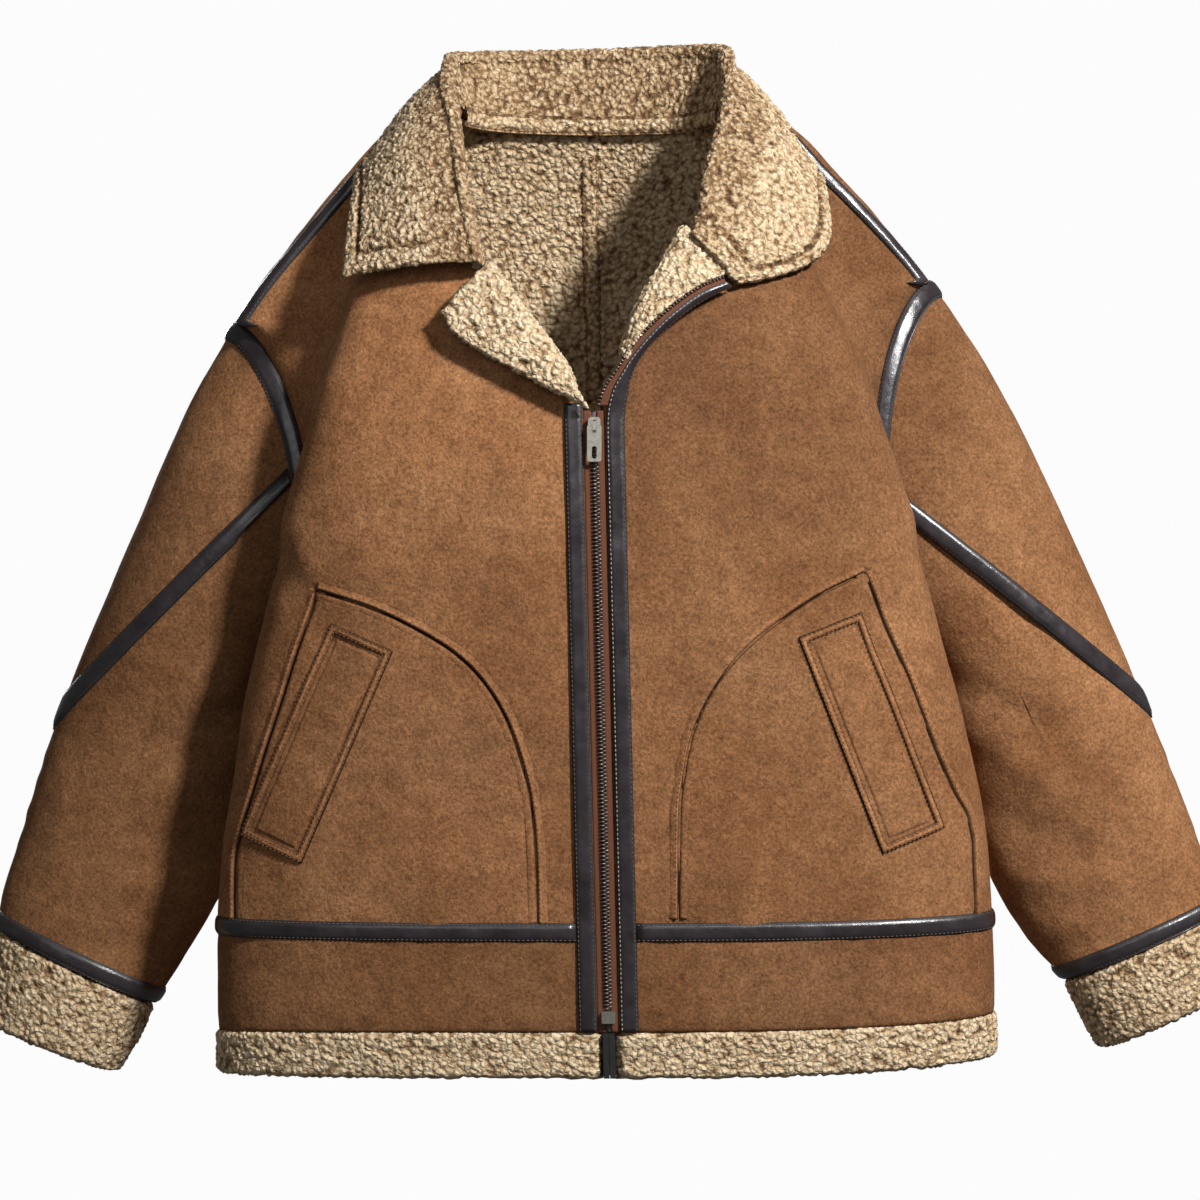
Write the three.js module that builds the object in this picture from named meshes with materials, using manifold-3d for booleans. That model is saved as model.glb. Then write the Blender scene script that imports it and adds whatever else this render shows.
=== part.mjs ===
// A hip-length bonded suede jacket with a sherpa inside, filled out as when it is worn, with no wearer.
// Sherpa shows on the fold-over collar, the two turned-out front edges, the cuffs and the hem.
// Millimetres. X runs to the wearer's left, Y to the back, Z up.
// The origin is in the middle of the neck opening, level with the back neck seam.
import * as THREE from "three";
import { mergeVertices } from "three/addons/utils/BufferGeometryUtils.js";
import Module from "manifold-3d";

const wasm = await Module();
wasm.setup();

// Driving sizes
const CLOTH = 5; // bonded suede and sherpa
const SEAM = 0.3; // gap left at each seam
const TRIM_THICK = 1.6; // leather binding
const TRIM_LIFT = 0.35; // binding above the panel that it is sewn on
const TRIM_WIDE = 14;
const SHERPA_THICK = 8; // hem and cuffs, where the pile is doubled
const SHERPA_PROUD = 1.5; // how far hem and cuffs stand out from the suede
const COLLAR_THICK = 7;
const LAPEL_THICK = 4;
const ROLL = 6; // radius of the collar's and lapels' fold
const TAPE_THICK = 1.2;
const TRIM_OUT = TRIM_LIFT + TRIM_THICK;
const INSIDE_THICK = 2.5; // sherpa tapes sewn inside
const INSIDE_LIFT = 0.4;
const TAPE_HALF = 7;
const NECK_TAPE_WIDE = 14;
const HEM_TAB = 4.5; // leather at the hem's two front ends
const SLIDER = { z: -240, wide: 9, high: 14, thick: 3.2 };
const BRIDGE = { wide: 2.4, reach: 4.6, bar: 1.3, up: 5, down: -4 };
const PULL = {
  wide: 10.5, long: 27, thick: 1.5, out: 1.75, axisUp: 0.6,
  rail: 0.75, eyeWide: 3.4, eyeHigh: 5.4, slotWide: 3.6, slotHigh: 9, slotEdge: 2.2,
};
const ZIP_BOX = { z: -672, wide: 10, high: 9, thick: 4.2 };
const ZIP_EDGE = 8.3; // from the middle of the zip to the front edges
const PLACKET_WIDE = 13.7;
const CHAIN_HALF = 2.6;
const ZIP_TOP = -226; // height where the closed zip ends
const RIGHT = -1; // the wearer's right, at -X
const LEFT = 1;
const FRONT = -1;
const BACK = 1;

// A table with named columns, one row for each section
function rows(names, values) {
  return values.map((row) => Object.fromEntries(names.map((name, i) => [name, row[i]])));
}

// Body sections by height: where the front's fold stands to each side, and the depths of front, back and fold
const BODY = rows(["z", "right", "left", "front", "back", "fold"], [
  [-722, 287, 298, 106, 88, -34],
  [-612, 287, 295, 111, 91, -36],
  [-550, 283, 291, 114, 93, -38],
  [-500, 275, 283, 116, 95, -40],
  [-450, 268, 271, 118, 97, -42],
  [-385, 253, 253, 120, 100, -46],
  [-335, 241, 241, 121, 102, -50],
  [-290, 232, 229, 121, 104, -54],
  [-255, 222, 218, 120, 105, -57],
  [-212, 210, 202, 117, 105, -58],
  [-170, 196, 184, 111, 104, -55],
  [-128, 181, 164, 101, 101, -48],
  [-60, 158, 138, 73, 89, -30],
  [-20, 137, 120, 50, 76, -14],
  [8, 112, 100, 32, 64, 0],
]);
// The side seam from the hem up to the underarm: its depth, and how far it lies inside the front's fold
const SIDE = rows(["z", "y", "inset"], [
  [-722, -12, 1],
  [-600, -12, 5],
  [-520, -12, 12],
  [-450, 0, 13],
  [-385, 16, 9],
]);
// The shoulder's ridge, from the armhole up to the neck
const SHOULDER = rows(["z", "right", "left", "y"], [
  [-156, 280, 272, 16],
  [-124, 259, 252, 16],
  [-99, 240, 233, 15],
  [-68, 216, 207, 13],
  [-38, 191, 179, 11],
  [-12, 167, 155, 9],
  [0, 148, 136, 8],
  [6, 128, 116, 8],
  [8, 117, 105, 8],
]);
// Inner edges of the fronts above the zip, where collar and lapels fold over
const NECK = rows(["z", "right", "left"], [
  [-222, -13, 4],
  [-190, -36, 17],
  [-153, -64, 34.5],
  [-107, -93, 60],
  [-61, -104, 81],
  [-14, -108, 96],
  [8, -107, 95],
]);
// Sleeve sections from armhole to cuff: outer and inner line, middle depth, half depth, and how far front and back
// draw in
const SLEEVE_NAMES = ["outX", "outZ", "inX", "inZ", "y", "half", "draw"];
const SLEEVES = {
  [RIGHT]: rows(SLEEVE_NAMES, [
    [280, -156, 244, -385, 16, 42, 40],
    [318, -222, 253, -404, 23, 51, 20],
    [349, -292, 259, -428, 30, 55, 9],
    [379, -362, 263, -462, 35, 55, 3],
    [405, -425, 268, -503, 38, 51, 0],
    [428, -487, 275, -547, 38, 47, 0],
    [446, -546, 290, -590, 37, 43, 0],
    [459, -588, 313, -632, 35, 40, 0],
    [464, -617, 341, -676, 33, 38, 0],
  ]),
  [LEFT]: rows(SLEEVE_NAMES, [
    [254, -124, 244, -385, 16, 42, 42],
    [300, -192, 253, -404, 23, 51, 24],
    [340, -268, 259, -428, 30, 55, 10],
    [374, -342, 264, -460, 35, 55, 3],
    [403, -406, 276, -500, 38, 51, 0],
    [430, -470, 286, -543, 38, 47, 0],
    [453, -530, 304, -589, 37, 43, 0],
    [470, -576, 327, -626, 35, 40, 0],
    [478, -604, 356, -658, 33, 38, 0],
  ]),
};
const SLEEVE_ROWS = 8;
// Cuff sections, from the sleeve's end to the cuff's edge
const CUFF_NAMES = ["outX", "outZ", "inX", "inZ", "y", "half"];
const CUFFS = {
  [RIGHT]: rows(CUFF_NAMES, [
    [464, -618, 343, -677, 33, 38],
    [470, -650, 354, -702, 33, 39],
    [477, -685, 371, -728, 32, 37],
  ]),
  [LEFT]: rows(CUFF_NAMES, [
    [478, -605, 357, -659, 33, 38],
    [486, -634, 368, -683, 33, 39],
    [493, -660, 383, -710, 32, 37],
  ]),
};
// Level seams by height, at the middle and at each side
const WAIST_LINE = { middle: -610, right: -609, left: -603 };
const HEM_SEAM = { middle: -684, right: -689, left: -672 };
const HEM_EDGE = { middle: -717, right: -719, left: -702 };
// The zip runs a little off plumb
const ZIP = { topX: -4.5, topZ: -226, endX: 7.2, endZ: -715 };
// The sleeve's slanted seam lies in an upright plane from front to back, through two points seen from the front
const SLANT = {
  [RIGHT]: { outX: 411, outZ: -447, inX: 232, inZ: -273 },
  [LEFT]: { outX: 418, outZ: -443, inX: 236, inZ: -302 },
};
// The curved lower front panel, as its corner, the arc to the front and the seam at the side
const POCKET_PANELS = {
  [RIGHT]: [
    [-45, -640], [-47, -549], [-51, -510], [-58, -482], [-68, -454], [-85, -426], [-105, -406],
    [-132, -389], [-168, -372], [-209, -359], [-221, -395], [-233, -432], [-246, -471],
    [-256, -503], [-266, -535], [-271, -556], [-272, -640],
  ],
  [LEFT]: [
    [57, -640], [58, -524], [61, -496], [67, -466], [78, -440], [93, -417], [112, -397],
    [134, -380], [160, -363], [195, -346], [209, -380], [229, -427], [248, -476],
    [262, -507], [274, -527], [278, -545], [280, -640],
  ],
};
// Welt pockets: the middle, the lean from upright in degrees, and the size of the frame
const WELTS = {
  [RIGHT]: { x: -209, z: -472, lean: 23.5 },
  [LEFT]: { x: 200, z: -464, lean: -21.5 },
};
const WELT = { long: 172, wide: 52, bar: 7, rise: 2.2 };
// The collar by stations from the wearer's right front round the neck: seam, top of the fold and outer edge
const COLLAR_NAMES = ["seamX", "seamY", "seamZ", "foldX", "foldY", "foldZ", "edgeX", "edgeY", "edgeZ", "arch"];
const COLLAR = rows(COLLAR_NAMES, [
  [-84, -90, -119, -86, -108, -121, -190, -84, -128, 6],
  [-97, -66, -68, -98, -78, -64, -187, -44, -70, 11],
  [-103, -30, -18, -106, -34, -8, -184, -4, -46, 12],
  [-106, 4, 9, -114, 4, 30, -178, 30, -34, 10],
  [-96, 32, 8, -111, 38, 53, -161, 78, -27, 9],
  [-62, 55, 5, -72, 67, 58, -110, 112, -23, 8],
  [-8, 61, 1, -10, 76, 61, -10, 124, -21, 8],
  [48, 57, 4, 55, 67, 62, 92, 112, -21, 8],
  [82, 34, 8, 93, 38, 58, 143, 78, -24, 9],
  [93, 4, 9, 96, 4, 30, 162, 30, -30, 10],
  [90, -30, -18, 89, -34, -10, 168, -4, -48, 11],
  [82, -58, -50, 78, -68, -50, 173, -40, -76, 11],
  [73, -78, -80, 73, -90, -80, 177, -78, -121, 6],
  [65, -88, -100, 66, -101, -100, 99, -104, -135, 3],
]);
// Lapels by stations up the neck edge: height of the fold, free edge and its lift off the front
const LAPELS = {
  [RIGHT]: rows(["foldZ", "edgeX", "edgeZ", "lift"], [
    [-221, -8, -228, 10],
    [-200, -36, -215, 12],
    [-177, -64, -200, 13],
    [-155, -88, -187, 14],
    [-137, -107, -175, 14],
    [-125, -115, -160, 14],
  ]),
  [LEFT]: rows(["foldZ", "edgeX", "edgeZ", "lift"], [
    [-190, 19.5, -194, 6],
    [-172, 31, -175, 9],
    [-150, 49, -156, 12],
    [-125, 74, -139, 12],
    [-104, 93, -130, 8],
  ]),
};
// The opened zip on the wearer's left: the tape's outer edge and the binding's outer edge
const OPEN_ZIP = rows(["z", "tapeX", "bindX", "tapeDrop", "bindDrop", "lift", "bindLift"], [
  [-226, 5, 19, 0, 0, 3.2, 2.4],
  [-212, 9, 21, 1, 0, 6, 4],
  [-197, 17, 25, 2, 2, 9, 5.5],
  [-180, 28, 34, 3, 4, 12, 7],
  [-155, 51, 56, 4, 7, 14.5, 8],
  [-137, 75.5, 80, 4, 8, 14, 8],
  [-129, 93, 97, 4, 8, 10.5, 6],
]);

const COLOURS = {
  suede: { color: 0x8a5c37, roughness: 0.95, metalness: 0 },
  sherpa: { color: 0xcfae80, roughness: 1, metalness: 0 },
  leather: { color: 0x2e2624, roughness: 0.4, metalness: 0 },
  tape: { color: 0x6a4030, roughness: 0.85, metalness: 0 },
  metal: { color: 0xa9a69a, roughness: 0.3, metalness: 1 },
};
const MATERIALS = Object.fromEntries(
  Object.entries(COLOURS).map(([name, look]) => [name, new THREE.MeshStandardMaterial(look)]),
);

const lerp = (a, b, k) => a + (b - a) * k;
const clamp = (x, low, high) => Math.min(high, Math.max(low, x));
const smooth = (k) => clamp(k, 0, 1) ** 2 * (3 - 2 * clamp(k, 0, 1));
const radians = (degrees) => (degrees * Math.PI) / 180;

// The slope at row i of a curve that never overshoots its rows
function slope(xs, ys, i) {
  if (i === 0) return (ys[1] - ys[0]) / (xs[1] - xs[0]);
  const last = xs.length - 1;
  if (i === last) return (ys[last] - ys[last - 1]) / (xs[last] - xs[last - 1]);
  const before = (ys[i] - ys[i - 1]) / (xs[i] - xs[i - 1]);
  const after = (ys[i + 1] - ys[i]) / (xs[i + 1] - xs[i]);
  return before * after <= 0 ? 0 : (2 * before * after) / (before + after);
}

// One column of a table, read smoothly at a value of the column named by
function read(table, key, by, at) {
  const xs = by ? table.map((row) => row[by]) : table.map((_, i) => i);
  const ys = table.map((row) => row[key]);
  const x = clamp(at, xs[0], xs[xs.length - 1]);
  let i = 0;
  while (i < xs.length - 2 && x > xs[i + 1]) i += 1;
  const wide = xs[i + 1] - xs[i];
  const k = (x - xs[i]) / wide;
  const [m0, m1] = [slope(xs, ys, i) * wide, slope(xs, ys, i + 1) * wide];
  return (
    (2 * k ** 3 - 3 * k ** 2 + 1) * ys[i] + (k ** 3 - 2 * k ** 2 + k) * m0 +
    (3 * k ** 2 - 2 * k ** 3) * ys[i + 1] + (k ** 3 - k ** 2) * m1
  );
}

const sideName = (side) => (side === RIGHT ? "right" : "left");
const zipX = (z) => lerp(ZIP.topX, ZIP.endX, (z - ZIP.topZ) / (ZIP.endZ - ZIP.topZ));
const middleX = (z) => (z < ZIP.topZ ? zipX(z) : lerp(ZIP.topX, -8, smooth((z - ZIP.topZ) / 200)));

// The body's outer face. q runs from the middle (0) over the fold (FOLD_Q) to the side seam, armhole or
// shoulder (1).
const FOLD_Q = 0.75;
const FRONT_POWER = 2.6;
const BACK_POWER = 2.2;
const BACK_INSET = { low: 14, high: 6 }; // the back is narrower than the front's fold, to leave the sleeve room
const BACK_FOLD = 38;

function foldAt(side, face, z) {
  const wide = read(BODY, sideName(side), "z", z);
  if (face === FRONT) return [side * wide, read(BODY, "fold", "z", z)];
  const top = Math.min(1, smooth((z + 60) / 68));
  const inset = lerp(BACK_INSET.low, BACK_INSET.high, smooth((z + 420) / 60));
  return [side * (wide - inset * (1 - top)), lerp(BACK_FOLD, 24, top)];
}

function armholeEnd(side, face, turn) {
  const ring = SLEEVES[side][0];
  const across = Math.abs(Math.sin(turn));
  return [
    side * (lerp(ring.inX, ring.outX, (1 + Math.cos(turn)) / 2) - ring.draw * across ** 1.2),
    ring.y + face * ring.half * across,
  ];
}

const armholeMiddle = (side) => (SLEEVES[side][0].outZ + SLEEVES[side][0].inZ) / 2;
const armholeHalf = (side) => (SLEEVES[side][0].outZ - SLEEVES[side][0].inZ) / 2;

// Where a section ends, and how far its end turns from outward to backward
function endAt(side, face, z) {
  const ring = SLEEVES[side][0];
  if (z <= ring.inZ) {
    const wide = read(BODY, sideName(side), "z", z) - read(SIDE, "inset", "z", z);
    return { end: [side * wide, read(SIDE, "y", "z", z)], turn: 90 };
  }
  if (z >= ring.outZ) {
    return { end: [side * read(SHOULDER, sideName(side), "z", z), read(SHOULDER, "y", "z", z)], turn: 90 };
  }
  const turn = Math.acos(clamp((z - armholeMiddle(side)) / armholeHalf(side), -1, 1));
  return { end: armholeEnd(side, face, turn), turn: 90 - 62 * Math.sin(turn) };
}

function bodyPoint(side, face, q, z) {
  const middle = middleX(z);
  const depth = face * read(BODY, face === FRONT ? "front" : "back", "z", z);
  const fold = foldAt(side, face, z);
  if (q <= FOLD_Q) {
    const angle = (clamp(q, 0, 1) / FOLD_Q) * (Math.PI / 2);
    const power = 2 / (face === FRONT ? FRONT_POWER : BACK_POWER);
    return new THREE.Vector3(
      lerp(middle, fold[0], Math.sin(angle) ** power),
      lerp(fold[1], depth, Math.cos(angle) ** power),
      z,
    );
  }
  const { end, turn } = endAt(side, face, z);
  const reach = Math.hypot(end[0] - fold[0], end[1] - fold[1]);
  const second = [fold[0], fold[1] - face * 0.5 * reach];
  const third = [
    end[0] - side * Math.cos(radians(turn)) * 0.45 * reach,
    end[1] + face * Math.sin(radians(turn)) * 0.45 * reach,
  ];
  const k = (q - FOLD_Q) / (1 - FOLD_Q);
  const near = [(1 - k) ** 3, 3 * (1 - k) ** 2 * k];
  const far = [3 * (1 - k) * k ** 2, k ** 3];
  const mix = (i) => near[0] * fold[i] + near[1] * second[i] + far[0] * third[i] + far[1] * end[i];
  return new THREE.Vector3(mix(0), mix(1), z);
}

// The q of a point x across the front
function across(side, z, x) {
  const middle = middleX(z);
  const share = clamp((x - middle) / (foldAt(side, FRONT, z)[0] - middle), 0, 1);
  return FOLD_Q * (2 / Math.PI) * Math.asin(share ** (FRONT_POWER / 2));
}

// The outward normal of a surface of two parameters
function normalOf(surface, a, b, stepA, stepB, sign) {
  const da = surface(a + stepA, b).sub(surface(a - stepA, b));
  const db = surface(a, b + stepB).sub(surface(a, b - stepB));
  return da.cross(db).normalize().multiplyScalar(sign);
}

function onBody(side, face, q, z) {
  const inner = clamp(q, 0.004, 0.996);
  return {
    p: bodyPoint(side, face, q, z),
    n: normalOf((a, b) => bodyPoint(side, face, a, b), inner, z, 0.004, 0.6, -face * side),
  };
}

// A sleeve's outer face. turn is 0 on the outer line, 90 in front, 180 on the inner line and 270 behind.
function sleevePoint(side, turn, t) {
  const angle = radians(turn);
  const at = (key) => read(SLEEVES[side], key, null, t);
  const k = (1 + Math.cos(angle)) / 2;
  return new THREE.Vector3(
    side * (lerp(at("inX"), at("outX"), k) - at("draw") * Math.abs(Math.sin(angle)) ** 1.2),
    at("y") - at("half") * Math.sin(angle),
    lerp(at("inZ"), at("outZ"), k),
  );
}

function onSleeve(side, turn, t) {
  const inner = clamp(t, 0.02, SLEEVE_ROWS - 0.02);
  return {
    p: sleevePoint(side, turn, t),
    n: normalOf((a, b) => sleevePoint(side, a, b), turn, inner, 1.5, 0.02, side),
  };
}

// The t that lies a real distance further down the sleeve
function downSleeve(side, turn, t, distance) {
  const step = 0.05;
  const base = clamp(t, step, SLEEVE_ROWS - step);
  const gone = sleevePoint(side, turn, base + step).distanceTo(sleevePoint(side, turn, base - step));
  const speed = gone / (2 * step);
  return t + distance / speed;
}

// Where a line down the sleeve comes a set distance past the slanted seam's plane, or 0 where the armhole is
// past it
function slantAt(side, turn, distance = 0) {
  const { outX, outZ, inX, inZ } = SLANT[side];
  const long = Math.hypot(outX - inX, outZ - inZ);
  const past = (t) => {
    const p = sleevePoint(side, turn, t);
    return ((side * p.x - inX) * (outZ - inZ) - (p.z - inZ) * (outX - inX)) / long;
  };
  if (past(0) >= distance) return 0;
  let [low, high] = [0, SLEEVE_ROWS];
  for (let i = 0; i < 30; i += 1) {
    const middle = (low + high) / 2;
    if (past(middle) < distance) low = middle;
    else high = middle;
  }
  return (low + high) / 2;
}

// The turn at which the slanted seam, or a line beside it, comes up to a distance from the armhole
function slantTurn(side, distance = 0, room = 0) {
  let turn = 30;
  while (slantAt(side, turn, distance) > downSleeve(side, turn, 0, room)) turn += 0.25;
  return turn;
}

function levelAt(line, side, q) {
  return lerp(line.middle, line[sideName(side)], smooth(q));
}

// A closed wall on a grid of places, each a point p with its normal n, between two offsets, grown all round
function wall(place, columns, lines, low, high, { ring = false, grow = 0 } = {}) {
  const wide = ring ? columns : columns + 1;
  const grid = [];
  for (let j = 0; j <= lines; j += 1)
    for (let i = 0; i < wide; i += 1) grid.push(place(i / columns, j / lines));
  const stretch = (edge, inner) => {
    const away = grid[edge].p.clone().sub(grid[inner].p).normalize();
    grid[edge].p = grid[edge].p.clone().addScaledVector(away, grow);
  };
  if (grow > 0) {
    for (let i = 0; i < wide; i += 1) {
      stretch(i, wide + i);
      stretch(lines * wide + i, (lines - 1) * wide + i);
    }
    for (let j = 0; j <= lines && !ring; j += 1) {
      stretch(j * wide, j * wide + 1);
      stretch(j * wide + columns, j * wide + columns - 1);
    }
  }
  const positions = [low - grow, high + grow].flatMap((offset) =>
    grid.flatMap(({ p, n }) => p.clone().addScaledVector(n, offset).toArray()),
  );
  const at = (i, j, layer) => layer * grid.length + j * wide + (i % wide);
  const index = [];
  const quad = (a, b, c, d) => index.push(a, b, c, a, c, d);
  for (let j = 0; j < lines; j += 1)
    for (let i = 0; i < columns; i += 1) {
      quad(at(i, j, 1), at(i + 1, j, 1), at(i + 1, j + 1, 1), at(i, j + 1, 1));
      quad(at(i, j, 0), at(i, j + 1, 0), at(i + 1, j + 1, 0), at(i + 1, j, 0));
    }
  for (let i = 0; i < columns; i += 1) {
    quad(at(i, 0, 0), at(i + 1, 0, 0), at(i + 1, 0, 1), at(i, 0, 1));
    quad(at(i, lines, 1), at(i + 1, lines, 1), at(i + 1, lines, 0), at(i, lines, 0));
  }
  if (!ring)
    for (let j = 0; j < lines; j += 1) {
      quad(at(0, j, 1), at(0, j + 1, 1), at(0, j + 1, 0), at(0, j, 0));
      quad(at(columns, j, 0), at(columns, j + 1, 0), at(columns, j + 1, 1), at(columns, j, 1));
    }
  return facingOut(positions, index);
}

// A geometry whose triangles all face out, whichever way round its grid ran
function facingOut(positions, index) {
  const corner = (k) => new THREE.Vector3().fromArray(positions, index[k] * 3);
  let volume = 0;
  for (let k = 0; k < index.length; k += 3) volume += corner(k).dot(corner(k + 1).cross(corner(k + 2)));
  if (volume < 0)
    for (let k = 0; k < index.length; k += 3) [index[k], index[k + 1]] = [index[k + 1], index[k]];
  return new THREE.BufferGeometry()
    .setAttribute("position", new THREE.Float32BufferAttribute(positions, 3))
    .setIndex(index);
}

function solidOf(geometry) {
  const bare = geometry.clone();
  bare.deleteAttribute("normal");
  bare.deleteAttribute("uv");
  const merged = mergeVertices(bare, 1e-4);
  return new wasm.Manifold(new wasm.Mesh({
    numProp: 3,
    vertProperties: new Float32Array(merged.attributes.position.array),
    triVerts: new Uint32Array(merged.index.array),
  }));
}

function geometryOf(solid) {
  const mesh = solid.getMesh();
  return new THREE.BufferGeometry()
    .setAttribute("position", new THREE.BufferAttribute(new Float32Array(mesh.vertProperties), 3))
    .setIndex(new THREE.BufferAttribute(new Uint32Array(mesh.triVerts), 1));
}

const FINE = 0.02; // detail below this is smoothed away after a cut

// The largest body of what is left of a solid when its neighbours, grown by the seam's gap, are cut away
function cutBack(solid, neighbours) {
  const without = (rest, piece) => rest.subtract(solidOf(piece(SEAM))).subtract(solidOf(piece()));
  const left = neighbours.reduce(without, solid);
  const largest = left.decompose().reduce((a, b) => (b.volume() > a.volume() ? b : a));
  return geometryOf(largest.simplify(FINE));
}

const jacket = new THREE.Group();
function add(name, geometry, material) {
  const mesh = new THREE.Mesh(geometry, MATERIALS[material]);
  mesh.name = name;
  jacket.add(mesh);
}

// Heights of the rows of a front or back panel, close together where the armhole starts and ends
function panelHeights(side) {
  const ring = SLEEVES[side][0];
  const low = [-530, -450];
  const armhole = [180, 152, 124, 100, 78, 56, 38, 22, 10, 2].map(
    (turn) => armholeMiddle(side) + armholeHalf(side) * Math.cos(radians(turn)),
  );
  const high = [-96, -66, -38, -16, -3, 7.5].filter((z) => z > ring.outZ + 10);
  return [...low, ...armhole, ...high];
}

// The height of a place on row j of a panel: the first row follows the waist seam
function panelHeight(heights, side, q, j) {
  return j === 0 ? levelAt(WAIST_LINE, side, q) + SEAM / 2 : heights[j - 1];
}

const PANEL_COLUMNS = 12;
const BACK_COLUMNS = 9;
const SIDE_GAP = 0.003; // the seam's half gap, as a share of a section

// Front panels share their columns with every band below them, apart from the first
function frontColumn(side, z, distance, a) {
  const edge = (from) => across(side, z, zipX(z) + side * from);
  return a === 0 ? edge(distance) : lerp(edge(ZIP_EDGE), 1 - SIDE_GAP, a);
}

function frontPiece(side) {
  const heights = panelHeights(side);
  return (grow = 0) => wall((a, b) => {
    const j = Math.round(b * heights.length);
    const z = panelHeight(heights, side, a, j);
    const q = z < NECK[0].z
      ? frontColumn(side, z, ZIP_EDGE, a)
      : lerp(across(side, z, read(NECK, sideName(side), "z", z)), 1 - SIDE_GAP, a);
    return onBody(side, FRONT, q, panelHeight(heights, side, q, j));
  }, PANEL_COLUMNS, heights.length, -CLOTH, 0, { grow });
}

// An outline with every edge moved out by a distance
function grown(points, distance) {
  const turn = THREE.ShapeUtils.area(points) > 0 ? 1 : -1;
  const count = points.length;
  return points.map((point, i) => {
    const before = point.clone().sub(points[(i + count - 1) % count]).normalize();
    const after = points[(i + 1) % count].clone().sub(point).normalize();
    const out = new THREE.Vector2(before.y + after.y, -before.x - after.x).multiplyScalar(turn);
    const sharp = Math.max(0.3, out.length() / 2);
    return point.clone().addScaledVector(out.normalize(), distance / sharp);
  });
}

// Front panels, with the curved pocket panels cut out of them
function front(side, neighbours) {
  const outline = POCKET_PANELS[side].map(([x, z]) => new THREE.Vector2(x, z));
  const prism = (points) =>
    new THREE.ExtrudeGeometry(new THREE.Shape(points), { depth: 90, bevelEnabled: false })
      .rotateX(Math.PI / 2).translate(0, -50, 0);
  const whole = solidOf(frontPiece(side)());
  add(`pocket_panel_${sideName(side)}`, geometryOf(whole.intersect(solidOf(prism(outline)))), "suede");
  const rest = whole.subtract(solidOf(prism(grown(outline, SEAM))));
  add(`front_${sideName(side)}`, cutBack(rest, neighbours), "suede");
}

// Back panels, seamed down the middle, dipping to the neck
function backHeight(z, q) {
  return z - 8 * (1 - q) ** 2 * smooth((z + 40) / 48);
}

function backPiece(side) {
  const heights = panelHeights(side);
  return (grow = 0) => wall((a, b) => {
    const j = Math.round(b * heights.length);
    const q = a === 0 ? 0.0012 : a * (1 - SIDE_GAP);
    return onBody(side, BACK, q, backHeight(panelHeight(heights, side, q, j), q));
  }, BACK_COLUMNS, heights.length, -CLOTH, 0, { grow });
}

// A place right across the back, from the wearer's right side seam to the left one
function acrossBack(a, height) {
  const side = a < 0.5 ? RIGHT : LEFT;
  const q = Math.abs(2 * a - 1) * (1 - SIDE_GAP);
  const at = onBody(side, BACK, q, height(side, q));
  if (q === 0) at.n.setX(0).normalize();
  return at;
}

const moved = (line, by) => ({ middle: line.middle + by, right: line.right + by, left: line.left + by });

// Strips round the body between two level lines
function frontBand(side, distance, low, high, lines, inner, outer) {
  return wall((a, b) => {
    const q = frontColumn(side, lerp(low.middle, high.middle, b), distance, a);
    return onBody(side, FRONT, q, lerp(levelAt(low, side, q), levelAt(high, side, q), b));
  }, PANEL_COLUMNS, lines, inner, outer);
}

function backBand(low, high, lines, inner, outer) {
  const height = (b) => (side, q) => lerp(levelAt(low, side, q), levelAt(high, side, q), b);
  return wall((a, b) => acrossBack(a, height(b)), 2 * BACK_COLUMNS, lines, inner, outer);
}

function waistAndHem() {
  const waistTop = moved(WAIST_LINE, -SEAM / 2);
  const waistLow = moved(HEM_SEAM, SEAM);
  const hemTop = moved(HEM_SEAM, -SEAM / 2);
  const bindLow = moved(WAIST_LINE, -TRIM_WIDE / 2);
  const bindHigh = moved(WAIST_LINE, TRIM_WIDE / 2);
  const hem = [SHERPA_PROUD - SHERPA_THICK, SHERPA_PROUD];
  for (const side of [RIGHT, LEFT]) {
    const name = sideName(side);
    const beside = ZIP_EDGE + PLACKET_WIDE + SEAM;
    add(`waist_front_${name}`, frontBand(side, ZIP_EDGE, waistLow, waistTop, 1, -CLOTH, 0), "suede");
    add(`hem_front_${name}`, frontBand(side, HEM_TAB + 2 * SEAM, HEM_EDGE, hemTop, 2, ...hem), "sherpa");
    const binding = frontBand(side, beside, bindLow, bindHigh, 1, TRIM_LIFT, TRIM_OUT);
    add(`waist_binding_${name}`, binding, "leather");
    add(`hem_tab_${name}`, wall((a, b) => {
      const z = lerp(HEM_EDGE.middle, hemTop.middle, b);
      return onBody(side, FRONT, across(side, z, zipX(z) + side * lerp(SEAM / 2, HEM_TAB, a)), z);
    }, 1, 1, hem[0], hem[1] + 0.5), "leather");
  }
  add("waist_back", backBand(waistLow, waistTop, 1, -CLOTH, 0), "suede");
  add("hem_back", backBand(HEM_EDGE, hemTop, 2, ...hem), "sherpa");
  add("waist_binding_back", backBand(bindLow, bindHigh, 1, TRIM_LIFT, TRIM_OUT), "leather");
}

// Sleeve columns: evenly round, and one where the slanted seam meets the armhole
const TURN_STEP = 20;
function sleeveTurns(side) {
  const even = [];
  for (let turn = 0; turn <= 180; turn += TURN_STEP) even.push(turn);
  return [...even, slantTurn(side)].sort((a, b) => a - b);
}

// Rows down the sleeve, with one at the far edge of each binding
const ARMHOLE_GAP = 0.6;
const UNDER_BINDING = TRIM_WIDE - ARMHOLE_GAP;
const CLOSER_AT_START = 1.5;
function between(side, turn, start, end, startBinding, endBinding, lines, j) {
  if (j === 0) return start;
  if (j === lines) return end;
  const first = downSleeve(side, turn, start, startBinding);
  const last = downSleeve(side, turn, end, -endBinding);
  return lerp(first, last, ((j - 1) / (lines - 2)) ** CLOSER_AT_START);
}

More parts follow.
